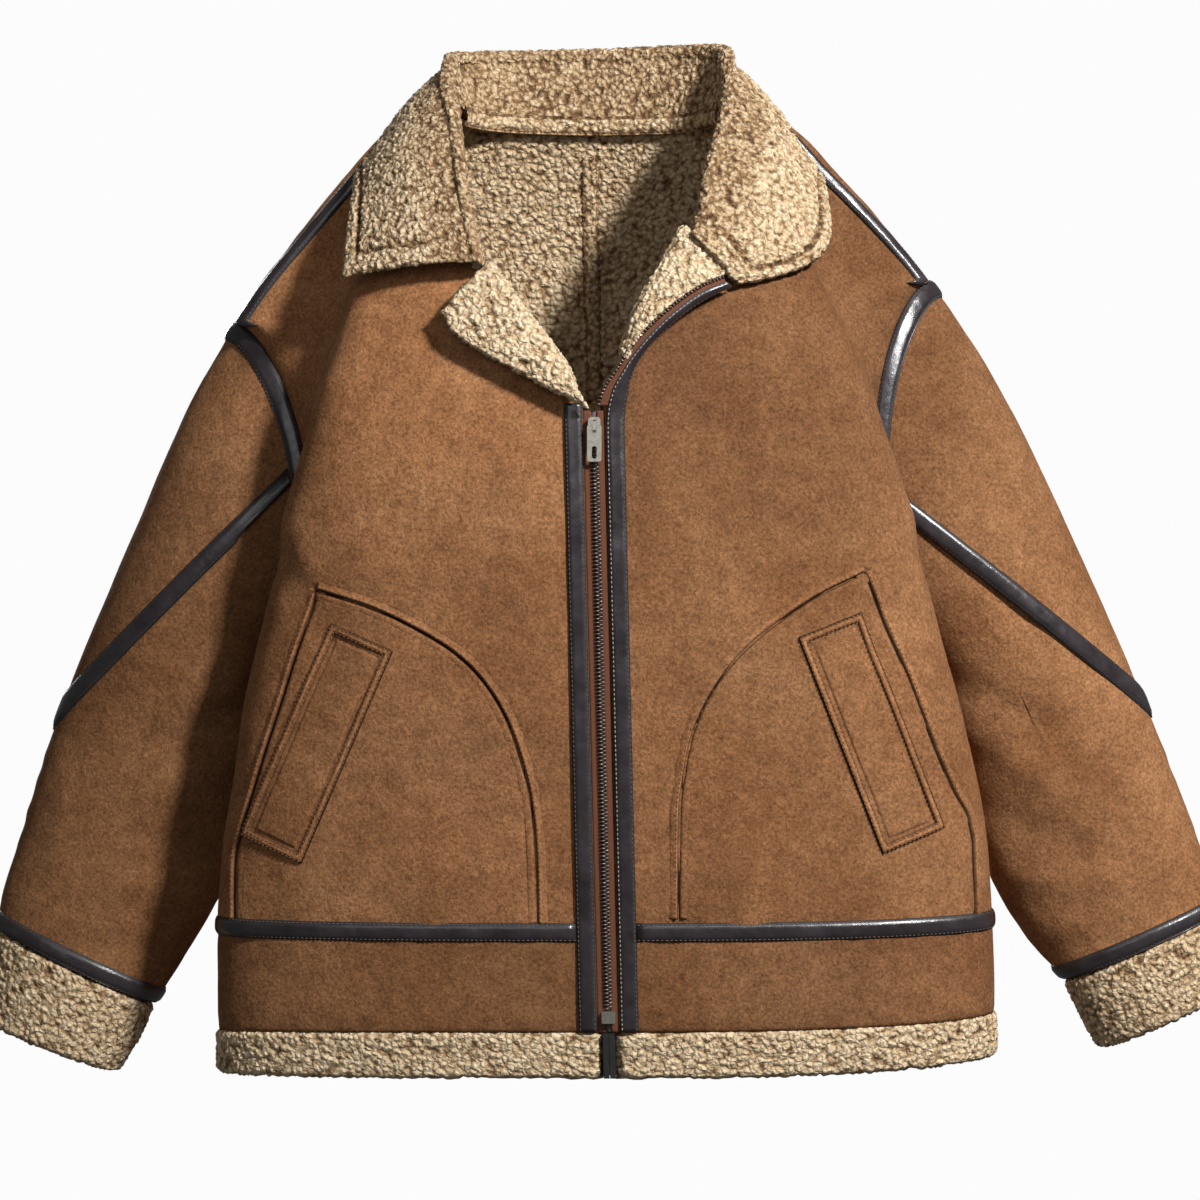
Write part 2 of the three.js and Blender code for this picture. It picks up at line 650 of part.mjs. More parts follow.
const SLEEVE_LINES = 9;
function sleeveHalf(side, face) {
  const turns = sleeveTurns(side);
  const last = turns.length - 1;
  return (grow = 0) => wall((a, b) => {
    const turn = clamp(turns[Math.round(a * last)], 0.25, 179.75);
    const at = face === FRONT ? turn : 360 - turn;
    const slant = slantAt(side, turn, 0.7 * SEAM);
    const start = Math.max(slant, downSleeve(side, turn, 0, ARMHOLE_GAP));
    const j = Math.round(b * SLEEVE_LINES);
    const t = between(side, turn, start, SLEEVE_ROWS, UNDER_BINDING, TRIM_WIDE, SLEEVE_LINES, j);
    return onSleeve(side, at, t);
  }, last, SLEEVE_LINES, -CLOTH, 0, { grow });
}

const CUFF_START = 0.004;
const CAP_LINES = 5;
const END_RISE = 1.2; // the slanted binding rides up where it meets the armhole
function sleeveCap(side) {
  const half = sleeveTurns(side).filter((turn) => turn < slantTurn(side) - 1);
  const end = slantTurn(side) - 2;
  const turns = [-end, ...half.slice(1).reverse().map((turn) => -turn), ...half, end];
  return (grow = 0) => wall((a, b) => {
    const turn = turns[Math.round(a * (turns.length - 1))];
    const top = downSleeve(side, turn, 0, ARMHOLE_GAP);
    const low = Math.max(slantAt(side, turn, -0.7 * SEAM), top + 0.02);
    const room = (low - top) / (downSleeve(side, turn, 0, 1) * 2 * TRIM_WIDE);
    const share = Math.min(1, room);
    const j = Math.round(b * CAP_LINES);
    return onSleeve(side, turn,
      between(side, turn, top, low, UNDER_BINDING * share, (TRIM_WIDE / 2) * share, CAP_LINES, j));
  }, turns.length - 1, CAP_LINES, -CLOTH, 0, { grow });
}

// A round binding on the sleeve, between two distances from a section
function sleeveRing(side, section, from, to) {
  const half = sleeveTurns(side);
  const turns = [...half, ...half.slice(1, -1).reverse().map((turn) => 360 - turn)];
  return wall((a, b) => {
    const turn = turns[Math.round(a * turns.length) % turns.length];
    return onSleeve(side, turn, downSleeve(side, turn, section, lerp(from, to, b)));
  }, turns.length, 1, TRIM_LIFT, TRIM_OUT, { ring: true });
}

function cuffPoint(side, turn, t) {
  const at = (key) => read(CUFFS[side], key, null, t);
  const k = (1 + Math.cos(radians(turn))) / 2;
  return new THREE.Vector3(
    side * lerp(at("inX"), at("outX"), k),
    at("y") - at("half") * Math.sin(radians(turn)),
    lerp(at("inZ"), at("outZ"), k),
  );
}

function sleeve(side, sleeves) {
  const name = sideName(side);
  add(`sleeve_front_${name}`, sleeveHalf(side, FRONT)(), "suede");
  add(`sleeve_back_${name}`, sleeveHalf(side, BACK)(), "suede");
  add(`sleeve_cap_${name}`, sleeveCap(side)(), "suede");
  const ring = solidOf(sleeveRing(side, 0, 0.3, TRIM_WIDE));
  add(`armhole_binding_${name}`, cutBack(ring, [frontPiece(side), backPiece(side)]), "leather");
  const clear = TRIM_WIDE + 4 * SEAM;
  const end = slantTurn(side, TRIM_WIDE / 2 - 1.5, clear) - 1;
  const turns = [...sleeveTurns(side).filter((turn) => turn < end - 2), end];
  const both = [...turns.slice(1).reverse().map((turn) => -turn), ...turns];
  add(`sleeve_binding_${name}`, wall((a, b) => {
    const turn = both[Math.round(a * (both.length - 1))];
    const t = slantAt(side, turn, lerp(-TRIM_WIDE / 2, TRIM_WIDE / 2, b));
    const at = onSleeve(side, turn, Math.max(t, downSleeve(side, turn, 0, clear + b * 0.5)));
    at.p.addScaledVector(at.n, END_RISE * smooth((Math.abs(turn) - 40) / 40));
    return at;
  }, both.length - 1, 3, TRIM_LIFT + 0.5, TRIM_OUT + 0.5), "leather");
  add(`cuff_binding_${name}`, sleeveRing(side, SLEEVE_ROWS, -TRIM_WIDE, -0.5), "leather");
  add(`cuff_${name}`, wall((a, b) => {
    const turn = a * 360;
    const t = lerp(CUFF_START, CUFFS[side].length - 1, b);
    const inner = clamp(t, 0.05, CUFFS[side].length - 1.05);
    const n = normalOf((u, v) => cuffPoint(side, u, v), turn, inner, 2, 0.05, side);
    return { p: cuffPoint(side, turn, t), n };
  }, 18, 2, SHERPA_PROUD - SHERPA_THICK, SHERPA_PROUD, { ring: true }), "sherpa");
}

// Leather on the front side of the shoulder seam, from the collar to the armhole, on the panel's own rows
function shoulderBinding(side) {
  const heights = panelHeights(side).filter((z) => z > SLEEVES[side][0].outZ - 4);
  const last = heights.length - 1;
  const strip = wall((a, b) => {
    const z = heights[Math.round(b * last)] + (b === 0 ? 6 : 0) - (b === 1 ? 6 : 0);
    return onBody(side, FRONT, lerp(0.89, 0.965, a), z);
  }, 2, last, TRIM_LIFT + 0.4, TRIM_OUT + 0.4);
  add(`shoulder_binding_${sideName(side)}`, cutBack(solidOf(strip), [frontPiece(side), collarPiece()]), "leather");
}

// The nearest place on the body at a point's own height, and how far the point stands off it
function standOff(point) {
  const z = clamp(point.z, BODY[0].z, BODY[BODY.length - 1].z);
  const side = point.x < middleX(z) ? RIGHT : LEFT;
  let best = null;
  for (const face of [FRONT, BACK])
    for (let i = 0; i <= 60; i += 1) {
      const p = bodyPoint(side, face, i / 60, z);
      const far = Math.hypot(p.x - point.x, p.y - point.y);
      if (!best || far < best.far) best = { far, face, q: i / 60 };
    }
  const at = onBody(side, best.face, best.q, z);
  return { n: at.n, off: point.clone().setZ(z).sub(at.p).dot(at.n) };
}

// A folded wall: from its seam, round a fold of radius ROLL, and out to its free edge, clear of the body
const STAND = 2;
const ROUND = 4;
const FLAT = 4;
function foldedWall(section, stations, thick, clear) {
  const count = STAND + ROUND + FLAT;
  const centre = (u, k) => {
    const { seam, fold, edge, out, arch } = section(u);
    const down = edge.clone().sub(fold).normalize();
    const roll = clamp(0.4 * edge.distanceTo(fold), thick / 2 + 0.2, ROLL);
    const heart = fold.clone().addScaledVector(down, roll);
    const inside = heart.clone().addScaledVector(out, -roll);
    if (k <= STAND) return seam.clone().lerp(inside, k / STAND);
    if (k <= STAND + ROUND) {
      const angle = ((k - STAND) / ROUND) * Math.PI;
      return heart.clone()
        .addScaledVector(out, -roll * Math.cos(angle))
        .addScaledVector(down, -roll * Math.sin(angle));
    }
    const along = (k - STAND - ROUND) / FLAT;
    const point = heart.clone().addScaledVector(out, roll)
      .lerp(edge, along)
      .addScaledVector(out, arch * Math.sin(Math.PI * along) * (1 - 0.3 * along));
    const { n, off } = standOff(point);
    const needed = (clear + thick / 2) * smooth(along * 3);
    return off < needed ? point.addScaledVector(n, needed - off) : point;
  };
  return (grow = 0) => wall((a, b) => {
    const k = b * count;
    const u = clamp(a, 0.004, 0.996);
    const step = 0.25;
    const low = clamp(k - step, 0, count - 2 * step);
    const over = centre(a, low + 2 * step).sub(centre(a, low));
    const along = centre(u + 0.004, k).sub(centre(u - 0.004, k));
    return { p: centre(a, k), n: along.cross(over).normalize() };
  }, stations, count, -thick / 2, thick / 2, { grow });
}

const COLLAR_CLEAR = 2.8; // over the shoulder's binding
function collarPiece() {
  const last = COLLAR.length - 1;
  const at = (u, part) =>
    new THREE.Vector3(...["X", "Y", "Z"].map((axis) => read(COLLAR, part + axis, null, clamp(u, 0, 1) * last)));
  const section = (u) => {
    const fold = at(u, "fold");
    const edge = at(u, "edge");
    const low = clamp(u, 0.01, 0.99) - 0.01;
    const along = at(low + 0.02, "fold").sub(at(low, "fold"));
    const out = along.cross(edge.clone().sub(fold)).normalize();
    return { seam: at(u, "seam"), fold, edge, out, arch: read(COLLAR, "arch", null, u * last) };
  };
  return foldedWall(section, 2 * last, COLLAR_THICK, COLLAR_CLEAR);
}

// The front's top edge, turned out so that its sherpa shows
function lapelPiece(side) {
  const table = LAPELS[side];
  const last = table.length - 1;
  const key = sideName(side);
  const section = (u) => {
    const at = (name) => read(table, name, null, clamp(u, 0, 1) * last);
    const foldZ = at("foldZ");
    const foldX = foldZ < NECK[0].z ? zipX(foldZ) + side * ZIP_EDGE : read(NECK, key, "z", foldZ);
    const root = onBody(side, FRONT, across(side, foldZ, foldX), foldZ);
    const free = onBody(side, FRONT, across(side, at("edgeZ"), at("edgeX")), at("edgeZ"));
    const edge = free.p.clone().addScaledVector(root.n, at("lift"));
    const down = edge.clone().sub(root.p);
    down.addScaledVector(root.n, -down.dot(root.n)).normalize();
    const seam = root.p.clone().addScaledVector(root.n, -CLOTH / 2).addScaledVector(down, -SEAM - 0.5);
    const roll = clamp(0.4 * edge.distanceTo(root.p), LAPEL_THICK / 2 + 0.2, ROLL);
    const fold = seam.clone().addScaledVector(root.n, roll).addScaledVector(down, -roll);
    return { seam, fold, edge, out: root.n, arch: 3 };
  };
  return foldedWall((u) => section(side === RIGHT ? 1 - u : u), 2 * last, LAPEL_THICK, 0.5);
}

// Welt pockets: a raised frame of narrow bars round a slit, on the curved panel
function welt(side) {
  const { x, z, lean } = WELTS[side];
  const turn = radians(lean);
  const on = (u, v) => {
    const px = x + u * Math.cos(turn) - v * Math.sin(turn) * -1;
    const pz = z + v * Math.cos(turn) - u * Math.sin(turn);
    return onBody(side, FRONT, across(side, pz, px), pz);
  };
  add(`welt_${sideName(side)}`, wall(
    (a, b) => on(lerp(-WELT.wide / 2, WELT.wide / 2, a), lerp(-WELT.long / 2, WELT.long / 2, b)),
    5, 10, TRIM_LIFT + 0.3, WELT.rise + 0.3), "suede");
}

// Narrow sherpa facings inside: along the back's middle seam and under the neck seam
function insideTapes() {
  add("back_seam_tape", wall((a, b) => {
    const z = lerp(-560, -22, b);
    const side = a < 0.5 ? RIGHT : LEFT;
    const q = across(side, z, middleX(z) + lerp(-TAPE_HALF, TAPE_HALF, a));
    const at = onBody(side, BACK, a === 0.5 ? 0 : q * 0.9, z);
    at.n.setX(0).normalize();
    return at;
  }, 2, 8, -CLOTH - INSIDE_THICK - INSIDE_LIFT, -CLOTH - INSIDE_LIFT), "sherpa");
  const neckQ = (4 / BACK_COLUMNS) * (1 - SIDE_GAP);
  const lift = CLOTH + 2 * INSIDE_LIFT;
  const drop = (side, q, b) => backHeight(6.5, q) - 2 - NECK_TAPE_WIDE * (1 - b);
  add("neck_tape", wall((a, b) => {
    const side = a < 0.5 ? RIGHT : LEFT;
    const q = Math.abs(2 * a - 1) * neckQ;
    const at = onBody(side, BACK, q, drop(side, q, b));
    if (q === 0) at.n.setX(0).normalize();
    return at;
  }, 8, 1, -lift - INSIDE_THICK, -lift), "sherpa");
}

function openZipPlace(u, part, drop, lift) {
  const last = OPEN_ZIP.length - 1;
  const at = (name) => (name ? read(OPEN_ZIP, name, null, u * last) : 0);
  const z = at("z") - at(drop);
  const x = at(part);
  const root = onBody(LEFT, FRONT, across(LEFT, z, Math.max(x, middleX(z) + 0.5)), z);
  return new THREE.Vector3(x, root.p.y - at(lift), z);
}

// A ribbon between two lines in space, facing the front
function ribbon(inner, outer, lines, low, high) {
  const centre = (a, b) => inner(b).lerp(outer(b), a);
  return wall((a, b) => {
    const n = normalOf(centre, a, clamp(b, 0.003, 0.997), 0.02, 0.003, 1);
    return { p: centre(a, b), n: n.y > 0 ? n.negate() : n };
  }, 2, lines, low, high);
}

const frontDepth = (z) => -read(BODY, "front", "z", z);

// Both halves of the zip and the bindings beside it
function zip() {
  const low = HEM_SEAM.middle + 2;
  const UPPER = 0.3; // the share of the wearer's left binding that lies above the closed zip
  const split = (k, under, above) => (k < 1 - UPPER ? under(k / (1 - UPPER)) : above((k - 1 + UPPER) / UPPER));
  const below = (side, distance, lift, top = ZIP_TOP) => (k) => {
    const z = lerp(low, top, k);
    const x = zipX(z) + side * distance;
    const { p, n } = onBody(side, FRONT, across(side, z, x), z);
    return p.addScaledVector(n, lift);
  };
  const binding = [ZIP_EDGE + 0.2, ZIP_EDGE + PLACKET_WIDE];
  const top = LAPELS[RIGHT][0].edgeZ - 4;
  add("placket_binding_right",
    ribbon(below(RIGHT, binding[0], 1.7, top), below(RIGHT, binding[1], 1.7, top), 10, -1, 1), "leather");
  const leftBinding = ribbon(
    (k) => split(k, below(LEFT, binding[0], 1.7), (u) => openZipPlace(u, "tapeX", "tapeDrop", "lift")),
    (k) => split(k, below(LEFT, binding[1], 1.7), (u) => openZipPlace(u, "bindX", "bindDrop", "bindLift")),
    20, -1, 1);
  add("placket_binding_left", cutBack(solidOf(leftBinding), [lapelPiece(LEFT), frontPiece(LEFT)]), "leather");
  const tapeEdge = (side, distance) => below(side, distance, -1.6, SLIDER.z - 12);
  for (const side of [RIGHT, LEFT])
    add(`zip_tape_${sideName(side)}`,
      ribbon(tapeEdge(side, CHAIN_HALF + SEAM), tapeEdge(side, ZIP_EDGE - SEAM), 9, -TAPE_THICK / 2, TAPE_THICK / 2),
      "tape");
  add("zip_chain", wall((a, b) => {
    const z = lerp(ZIP_BOX.z + ZIP_BOX.high / 2 + SEAM, SLIDER.z - SLIDER.high / 2 - SEAM, b);
    const x = zipX(z) + lerp(-CHAIN_HALF, CHAIN_HALF, a);
    return { p: new THREE.Vector3(x, frontDepth(z), z), n: new THREE.Vector3(0, -1, 0) };
  }, 1, 9, -1.4, 0.6), "metal");
}

// A flat outline seen from the front, given a depth and put in its place
function plate(shape, depth, x, y, z, material, name) {
  const geometry = new THREE.ExtrudeGeometry(shape, { depth, bevelEnabled: false, curveSegments: 2 })
    .rotateX(Math.PI / 2)
    .translate(x, y, z);
  add(name, geometry, material);
}

function roundedRectangle(wide, high, radius, centreY = 0) {
  const shape = new THREE.Shape();
  const [x, y] = [wide / 2, high / 2];
  shape.absarc(x - radius, centreY + y - radius, radius, 0, Math.PI / 2);
  shape.absarc(-x + radius, centreY + y - radius, radius, Math.PI / 2, Math.PI);
  shape.absarc(-x + radius, centreY - y + radius, radius, Math.PI, 1.5 * Math.PI);
  shape.absarc(x - radius, centreY - y + radius, radius, 1.5 * Math.PI, 2 * Math.PI);
  return shape;
}

// The slider with its bridge, and the pull that swings on the bridge about a level axis
function zipHardware() {
  const x = zipX(SLIDER.z);
  const y = frontDepth(SLIDER.z) - 0.9;
  const flat = { depth: SLIDER.thick, bevelEnabled: false, curveSegments: 2 };
  const body = solidOf(new THREE.ExtrudeGeometry(roundedRectangle(SLIDER.wide, SLIDER.high, 2.5), flat)
    .rotateX(Math.PI / 2).translate(x, y, SLIDER.z));
  const face = y - SLIDER.thick;
  const { wide, reach, bar, up, down } = BRIDGE;
  const arch = new THREE.Shape([
    new THREE.Vector2(0.4, up), new THREE.Vector2(-reach + bar, up), new THREE.Vector2(-reach, up - bar),
    new THREE.Vector2(-reach, down + bar), new THREE.Vector2(-reach + bar, down), new THREE.Vector2(0.4, down),
    new THREE.Vector2(0.4, down + bar), new THREE.Vector2(-reach + bar, down + bar),
    new THREE.Vector2(-reach + bar, up - bar), new THREE.Vector2(0.4, up - bar),
  ]);
  const bridge = solidOf(new THREE.ExtrudeGeometry(arch, { depth: wide, bevelEnabled: false })
    .rotateX(Math.PI / 2).rotateZ(Math.PI / 2).translate(x - wide / 2, face, SLIDER.z));
  add("zip_slider", geometryOf(body.add(bridge)), "metal");
  const outline = roundedRectangle(PULL.wide, PULL.long, 1.8, PULL.rail - PULL.long / 2);
  outline.holes.push(roundedRectangle(PULL.eyeWide, PULL.eyeHigh, 0.8, -PULL.rail - PULL.eyeHigh / 2));
  const slotMiddle = PULL.rail - PULL.long + PULL.slotHigh / 2 + PULL.slotEdge;
  outline.holes.push(roundedRectangle(PULL.slotWide, PULL.slotHigh, 1.4, slotMiddle));
  plate(outline, PULL.thick, x, face - PULL.out + PULL.thick / 2, SLIDER.z + PULL.axisUp, "metal", "zip_pull");
  plate(roundedRectangle(ZIP_BOX.wide, ZIP_BOX.high, 1), ZIP_BOX.thick, zipX(ZIP_BOX.z),
    frontDepth(ZIP_BOX.z) + 0.6, ZIP_BOX.z, "metal", "zip_box");
}

const collar = collarPiece();
add("collar", collar(), "sherpa");
for (const side of [RIGHT, LEFT]) {
  const lapel = lapelPiece(side);
  const sleeves = [sleeveCap(side), sleeveHalf(side, FRONT), sleeveHalf(side, BACK)];
  front(side, [collar, lapel, ...sleeves]);
  add(`back_${sideName(side)}`, cutBack(solidOf(backPiece(side)()), [collar, ...sleeves]), "suede");
  add(`lapel_${sideName(side)}`, cutBack(solidOf(lapel()), [collar]), "sherpa");
  sleeve(side, sleeves);
  shoulderBinding(side);
  welt(side);
}
waistAndHem();
insideTapes();
zip();
zipHardware();

export default jacket;
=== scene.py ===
import math
from itertools import product

import bpy
import numpy as np
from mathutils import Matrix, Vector


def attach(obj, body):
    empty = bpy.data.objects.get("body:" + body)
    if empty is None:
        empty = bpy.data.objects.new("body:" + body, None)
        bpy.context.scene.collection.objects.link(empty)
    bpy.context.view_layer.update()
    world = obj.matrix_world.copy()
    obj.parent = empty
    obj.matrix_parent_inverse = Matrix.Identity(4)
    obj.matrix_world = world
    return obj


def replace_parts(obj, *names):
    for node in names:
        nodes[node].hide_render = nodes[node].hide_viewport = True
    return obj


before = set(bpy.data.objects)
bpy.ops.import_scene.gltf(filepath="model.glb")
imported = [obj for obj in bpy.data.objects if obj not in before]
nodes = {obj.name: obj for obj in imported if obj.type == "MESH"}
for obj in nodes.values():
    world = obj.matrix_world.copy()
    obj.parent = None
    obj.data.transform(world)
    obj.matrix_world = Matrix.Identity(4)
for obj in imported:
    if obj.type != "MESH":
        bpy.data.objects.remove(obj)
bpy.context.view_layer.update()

MM = 0.001
RIGHT, LEFT = -1, 1
FRONT, BACK = -1, 1
NAMES = {RIGHT: "right", LEFT: "left"}
QUICK = 1.0

# Driving sizes, the same as the solids' own
CLOTH = 5
SEAM = 0.3
TRIM_WIDE = 14
TRIM_OUT = 1.95
SHERPA_PROUD = 1.5
SHERPA_THICK = 8
PILE_SUNK = SHERPA_THICK / 2 - SHERPA_PROUD
COLLAR_HALF = 3.5
LAPEL_HALF = 2
ROLL = 6
ZIP_EDGE = 8.3
PLACKET_WIDE = 13.7
CHAIN_HALF = 2.6
ZIP_TOP = -226
SLIDER_Z = -240
SLIDER_HALF = 7
ZIP_BOX_TOP = -667.2
HEM_TAB = 4.5
FOLD_Q = 0.75
FRONT_POWER = 2.6
BACK_POWER = 2.2
SLEEVE_ROWS = 8
DRAW_POWER = 1.2
# Where a panel ends beside its side seam, and the step that normals on the body are measured over
PANEL_END = 0.997
Q_STEP = 0.004
Z_STEP = 0.6
# How long the curve from fold to side seam keeps each end's direction, and an armhole's turn of it
FOLD_HOLD = 0.5
END_HOLD = 0.45
ARM_TURN = 62
# Where the grids of the fronts, the backs and the lining begin and end in Z, and how soon they are level
FRONT_LOW = -610
BACK_LOW = -603
LINING_LOW = -684
BODY_TOP = 7.5
LEVEL_REACH = 60
# Rough lengths that the grids' spacings divide
HALF_ROUND = 330
BODY_LONG = 610
SLEEVE_HALF_ROUND = 210
SLEEVE_LONG = 520

# Camera: level, straight in front
CAMERA_AWAY = 3.0
CAMERA_Z = -0.3664
FRAME_WIDE = 0.912
SENSOR = 36


def rows(names, values):
    return {name: np.array(column, float) for name, column in zip(names, zip(*values))}


BODY = rows(["z", "right", "left", "front", "back", "fold"], [
    [-722, 287, 298, 106, 88, -34],
    [-612, 287, 295, 111, 91, -36],
    [-550, 283, 291, 114, 93, -38],
    [-500, 275, 283, 116, 95, -40],
    [-450, 268, 271, 118, 97, -42],
    [-385, 253, 253, 120, 100, -46],
    [-335, 241, 241, 121, 102, -50],
    [-290, 232, 229, 121, 104, -54],
    [-255, 222, 218, 120, 105, -57],
    [-212, 210, 202, 117, 105, -58],
    [-170, 196, 184, 111, 104, -55],
    [-128, 181, 164, 101, 101, -48],
    [-60, 158, 138, 73, 89, -30],
    [-20, 137, 120, 50, 76, -14],
    [8, 112, 100, 32, 64, 0],
])
SIDE_SEAM = rows(["z", "y", "inset"], [
    [-722, -12, 1],
    [-600, -12, 5],
    [-520, -12, 12],
    [-450, 0, 13],
    [-385, 16, 9],
])
SHOULDER = rows(["z", "right", "left", "y"], [
    [-156, 280, 272, 16],
    [-124, 259, 252, 16],
    [-99, 240, 233, 15],
    [-68, 216, 207, 13],
    [-38, 191, 179, 11],
    [-12, 167, 155, 9],
    [0, 148, 136, 8],
    [6, 128, 116, 8],
    [8, 117, 105, 8],
])
NECK = rows(["z", "right", "left"], [
    [-222, -13, 4],
    [-190, -36, 17],
    [-153, -64, 34.5],
    [-107, -93, 60],
    [-61, -104, 81],
    [-14, -108, 96],
    [8, -107, 95],
])
TUBE_NAMES = ["outX", "outZ", "inX", "inZ", "y", "half", "draw"]
SLEEVES = {
    RIGHT: rows(TUBE_NAMES, [
        [280, -156, 244, -385, 16, 42, 40],
        [318, -222, 253, -404, 23, 51, 20],
        [349, -292, 259, -428, 30, 55, 9],
        [379, -362, 263, -462, 35, 55, 3],
        [405, -425, 268, -503, 38, 51, 0],
        [428, -487, 275, -547, 38, 47, 0],
        [446, -546, 290, -590, 37, 43, 0],
        [459, -588, 313, -632, 35, 40, 0],
        [464, -617, 341, -676, 33, 38, 0],
    ]),
    LEFT: rows(TUBE_NAMES, [
        [254, -124, 244, -385, 16, 42, 42],
        [300, -192, 253, -404, 23, 51, 24],
        [340, -268, 259, -428, 30, 55, 10],
        [374, -342, 264, -460, 35, 55, 3],
        [403, -406, 276, -500, 38, 51, 0],
        [430, -470, 286, -543, 38, 47, 0],
        [453, -530, 304, -589, 37, 43, 0],
        [470, -576, 327, -626, 35, 40, 0],
        [478, -604, 356, -658, 33, 38, 0],
    ]),
}
CUFFS = {
    RIGHT: rows(TUBE_NAMES, [
        [464, -618, 343, -677, 33, 38, 0],
        [470, -650, 354, -702, 33, 39, 0],
        [477, -685, 371, -728, 32, 37, 0],
    ]),
    LEFT: rows(TUBE_NAMES, [
        [478, -605, 357, -659, 33, 38, 0],
        [486, -634, 368, -683, 33, 39, 0],
        [493, -660, 383, -710, 32, 37, 0],
    ]),
}
WAIST_LINE = {"middle": -610, "right": -609, "left": -603}
HEM_SEAM = {"middle": -684, "right": -689, "left": -672}
HEM_EDGE = {"middle": -717, "right": -719, "left": -702}
ZIP = {"topX": -4.5, "topZ": -226, "endX": 7.2, "endZ": -715}
SLANT = {
    RIGHT: {"outX": 411, "outZ": -447, "inX": 232, "inZ": -273},
    LEFT: {"outX": 418, "outZ": -443, "inX": 236, "inZ": -302},
}
POCKET_PANELS = {
    RIGHT: [
        [-45, -640], [-47, -549], [-51, -510], [-58, -482], [-68, -454], [-85, -426], [-105, -406],
        [-132, -389], [-168, -372], [-209, -359], [-221, -395], [-233, -432], [-246, -471],
        [-256, -503], [-266, -535], [-271, -556], [-272, -640],
    ],
    LEFT: [
        [57, -640], [58, -524], [61, -496], [67, -466], [78, -440], [93, -417], [112, -397],
        [134, -380], [160, -363], [195, -346], [209, -380], [229, -427], [248, -476],
        [262, -507], [274, -527], [278, -545], [280, -640],
    ],
}
ARC_POINTS = 10
WELTS = {
    RIGHT: {"x": -209, "z": -472, "lean": 23.5},
    LEFT: {"x": 200, "z": -464, "lean": -21.5},
}
WELT = {"long": 172, "wide": 52, "bar": 6.4, "puff": 3.1, "sunk": 0.9, "middle": 1.9}
COLLAR = rows(["seamX", "seamY", "seamZ", "foldX", "foldY", "foldZ", "edgeX", "edgeY", "edgeZ", "arch"], [
    [-84, -90, -119, -86, -108, -121, -190, -84, -128, 6],
    [-97, -66, -68, -98, -78, -64, -187, -44, -70, 11],
    [-103, -30, -18, -106, -34, -8, -184, -4, -46, 12],
    [-106, 4, 9, -114, 4, 30, -178, 30, -34, 10],
    [-96, 32, 8, -111, 38, 53, -161, 78, -27, 9],
    [-62, 55, 5, -72, 67, 58, -110, 112, -23, 8],
    [-8, 61, 1, -10, 76, 61, -10, 124, -21, 8],
    [48, 57, 4, 55, 67, 62, 92, 112, -21, 8],
    [82, 34, 8, 93, 38, 58, 143, 78, -24, 9],
    [93, 4, 9, 96, 4, 30, 162, 30, -30, 10],
    [90, -30, -18, 89, -34, -10, 168, -4, -48, 11],
    [82, -58, -50, 78, -68, -50, 173, -40, -76, 11],
    [73, -78, -80, 73, -90, -80, 177, -78, -121, 6],
    [65, -88, -100, 66, -101, -100, 99, -104, -135, 3],
])
LAPEL_NAMES = ["foldZ", "edgeX", "edgeZ", "lift"]
LAPELS = {
    RIGHT: rows(LAPEL_NAMES, [
        [-221, -8, -228, 10],
        [-200, -36, -215, 12],
        [-177, -64, -200, 13],
        [-155, -88, -187, 14],
        [-137, -107, -175, 14],
        [-125, -115, -160, 14],
    ]),
    LEFT: rows(LAPEL_NAMES, [
        [-190, 19.5, -194, 6],
        [-172, 31, -175, 9],
        [-150, 49, -156, 12],
        [-125, 74, -139, 12],
        [-104, 93, -130, 8],
    ]),
}
OPEN_ZIP = rows(["z", "teethX", "tapeX", "bindX", "tapeDrop", "bindDrop", "lift", "bindLift"], [
    [-226, -2, 5, 19, 0, 0, 3.2, 2.4],
    [-212, 3, 9, 21, 1, 0, 6, 4],
    [-197, 13, 17, 25, 2, 2, 9, 5.5],
    [-180, 24, 28, 34, 3, 4, 12, 7],
    [-155, 49, 51, 56, 4, 7, 14.5, 8],
    [-137, 74, 75.5, 80, 4, 8, 14, 8],
    [-129, 92, 93, 97, 4, 8, 10.5, 6],
])


# Small functions
def mix(a, b, k):
    return a + (b - a) * k


def smooth(k):
    k = np.clip(k, 0, 1)
    return k * k * (3 - 2 * k)


def cubic(k, wide, start, end, start_slope, end_slope):
    return (
        (2 * k**3 - 3 * k**2 + 1) * start + (k**3 - 2 * k**2 + k) * start_slope * wide
        + (3 * k**2 - 2 * k**3) * end + (k**3 - k**2) * end_slope * wide
    )


def read(table, key, at, by=None):
    """A smooth curve through a table's column that never overshoots its values."""
    ys = table[key]
    xs = table[by] if by else np.arange(len(ys), dtype=float)
    wide = np.diff(xs)
    rise = np.diff(ys) / wide
    slopes = np.zeros_like(ys)
    slopes[0], slopes[-1] = rise[0], rise[-1]
    before, after = rise[:-1], rise[1:]
    same = before * after > 0
    slopes[1:-1][same] = 2 * before[same] * after[same] / (before[same] + after[same])
    x = np.clip(at, xs[0], xs[-1])
    i = np.clip(np.searchsorted(xs, x, side="left") - 1, 0, len(wide) - 1)
    k = (x - xs[i]) / wide[i]
    return cubic(k, wide[i], ys[i], ys[i + 1], slopes[i], slopes[i + 1])


def stack(x, y, z):
    return np.stack(np.broadcast_arrays(x, y, z), axis=-1).astype(float)


def unit(v):
    return v / np.maximum(np.linalg.norm(v, axis=-1, keepdims=True), 1e-9)


def zip_x(z):
    return mix(ZIP["topX"], ZIP["endX"], (z - ZIP["topZ"]) / (ZIP["endZ"] - ZIP["topZ"]))


def middle_x(z):
    return np.where(z < ZIP["topZ"], zip_x(z), mix(ZIP["topX"], -8, smooth((z - ZIP["topZ"]) / 200)))


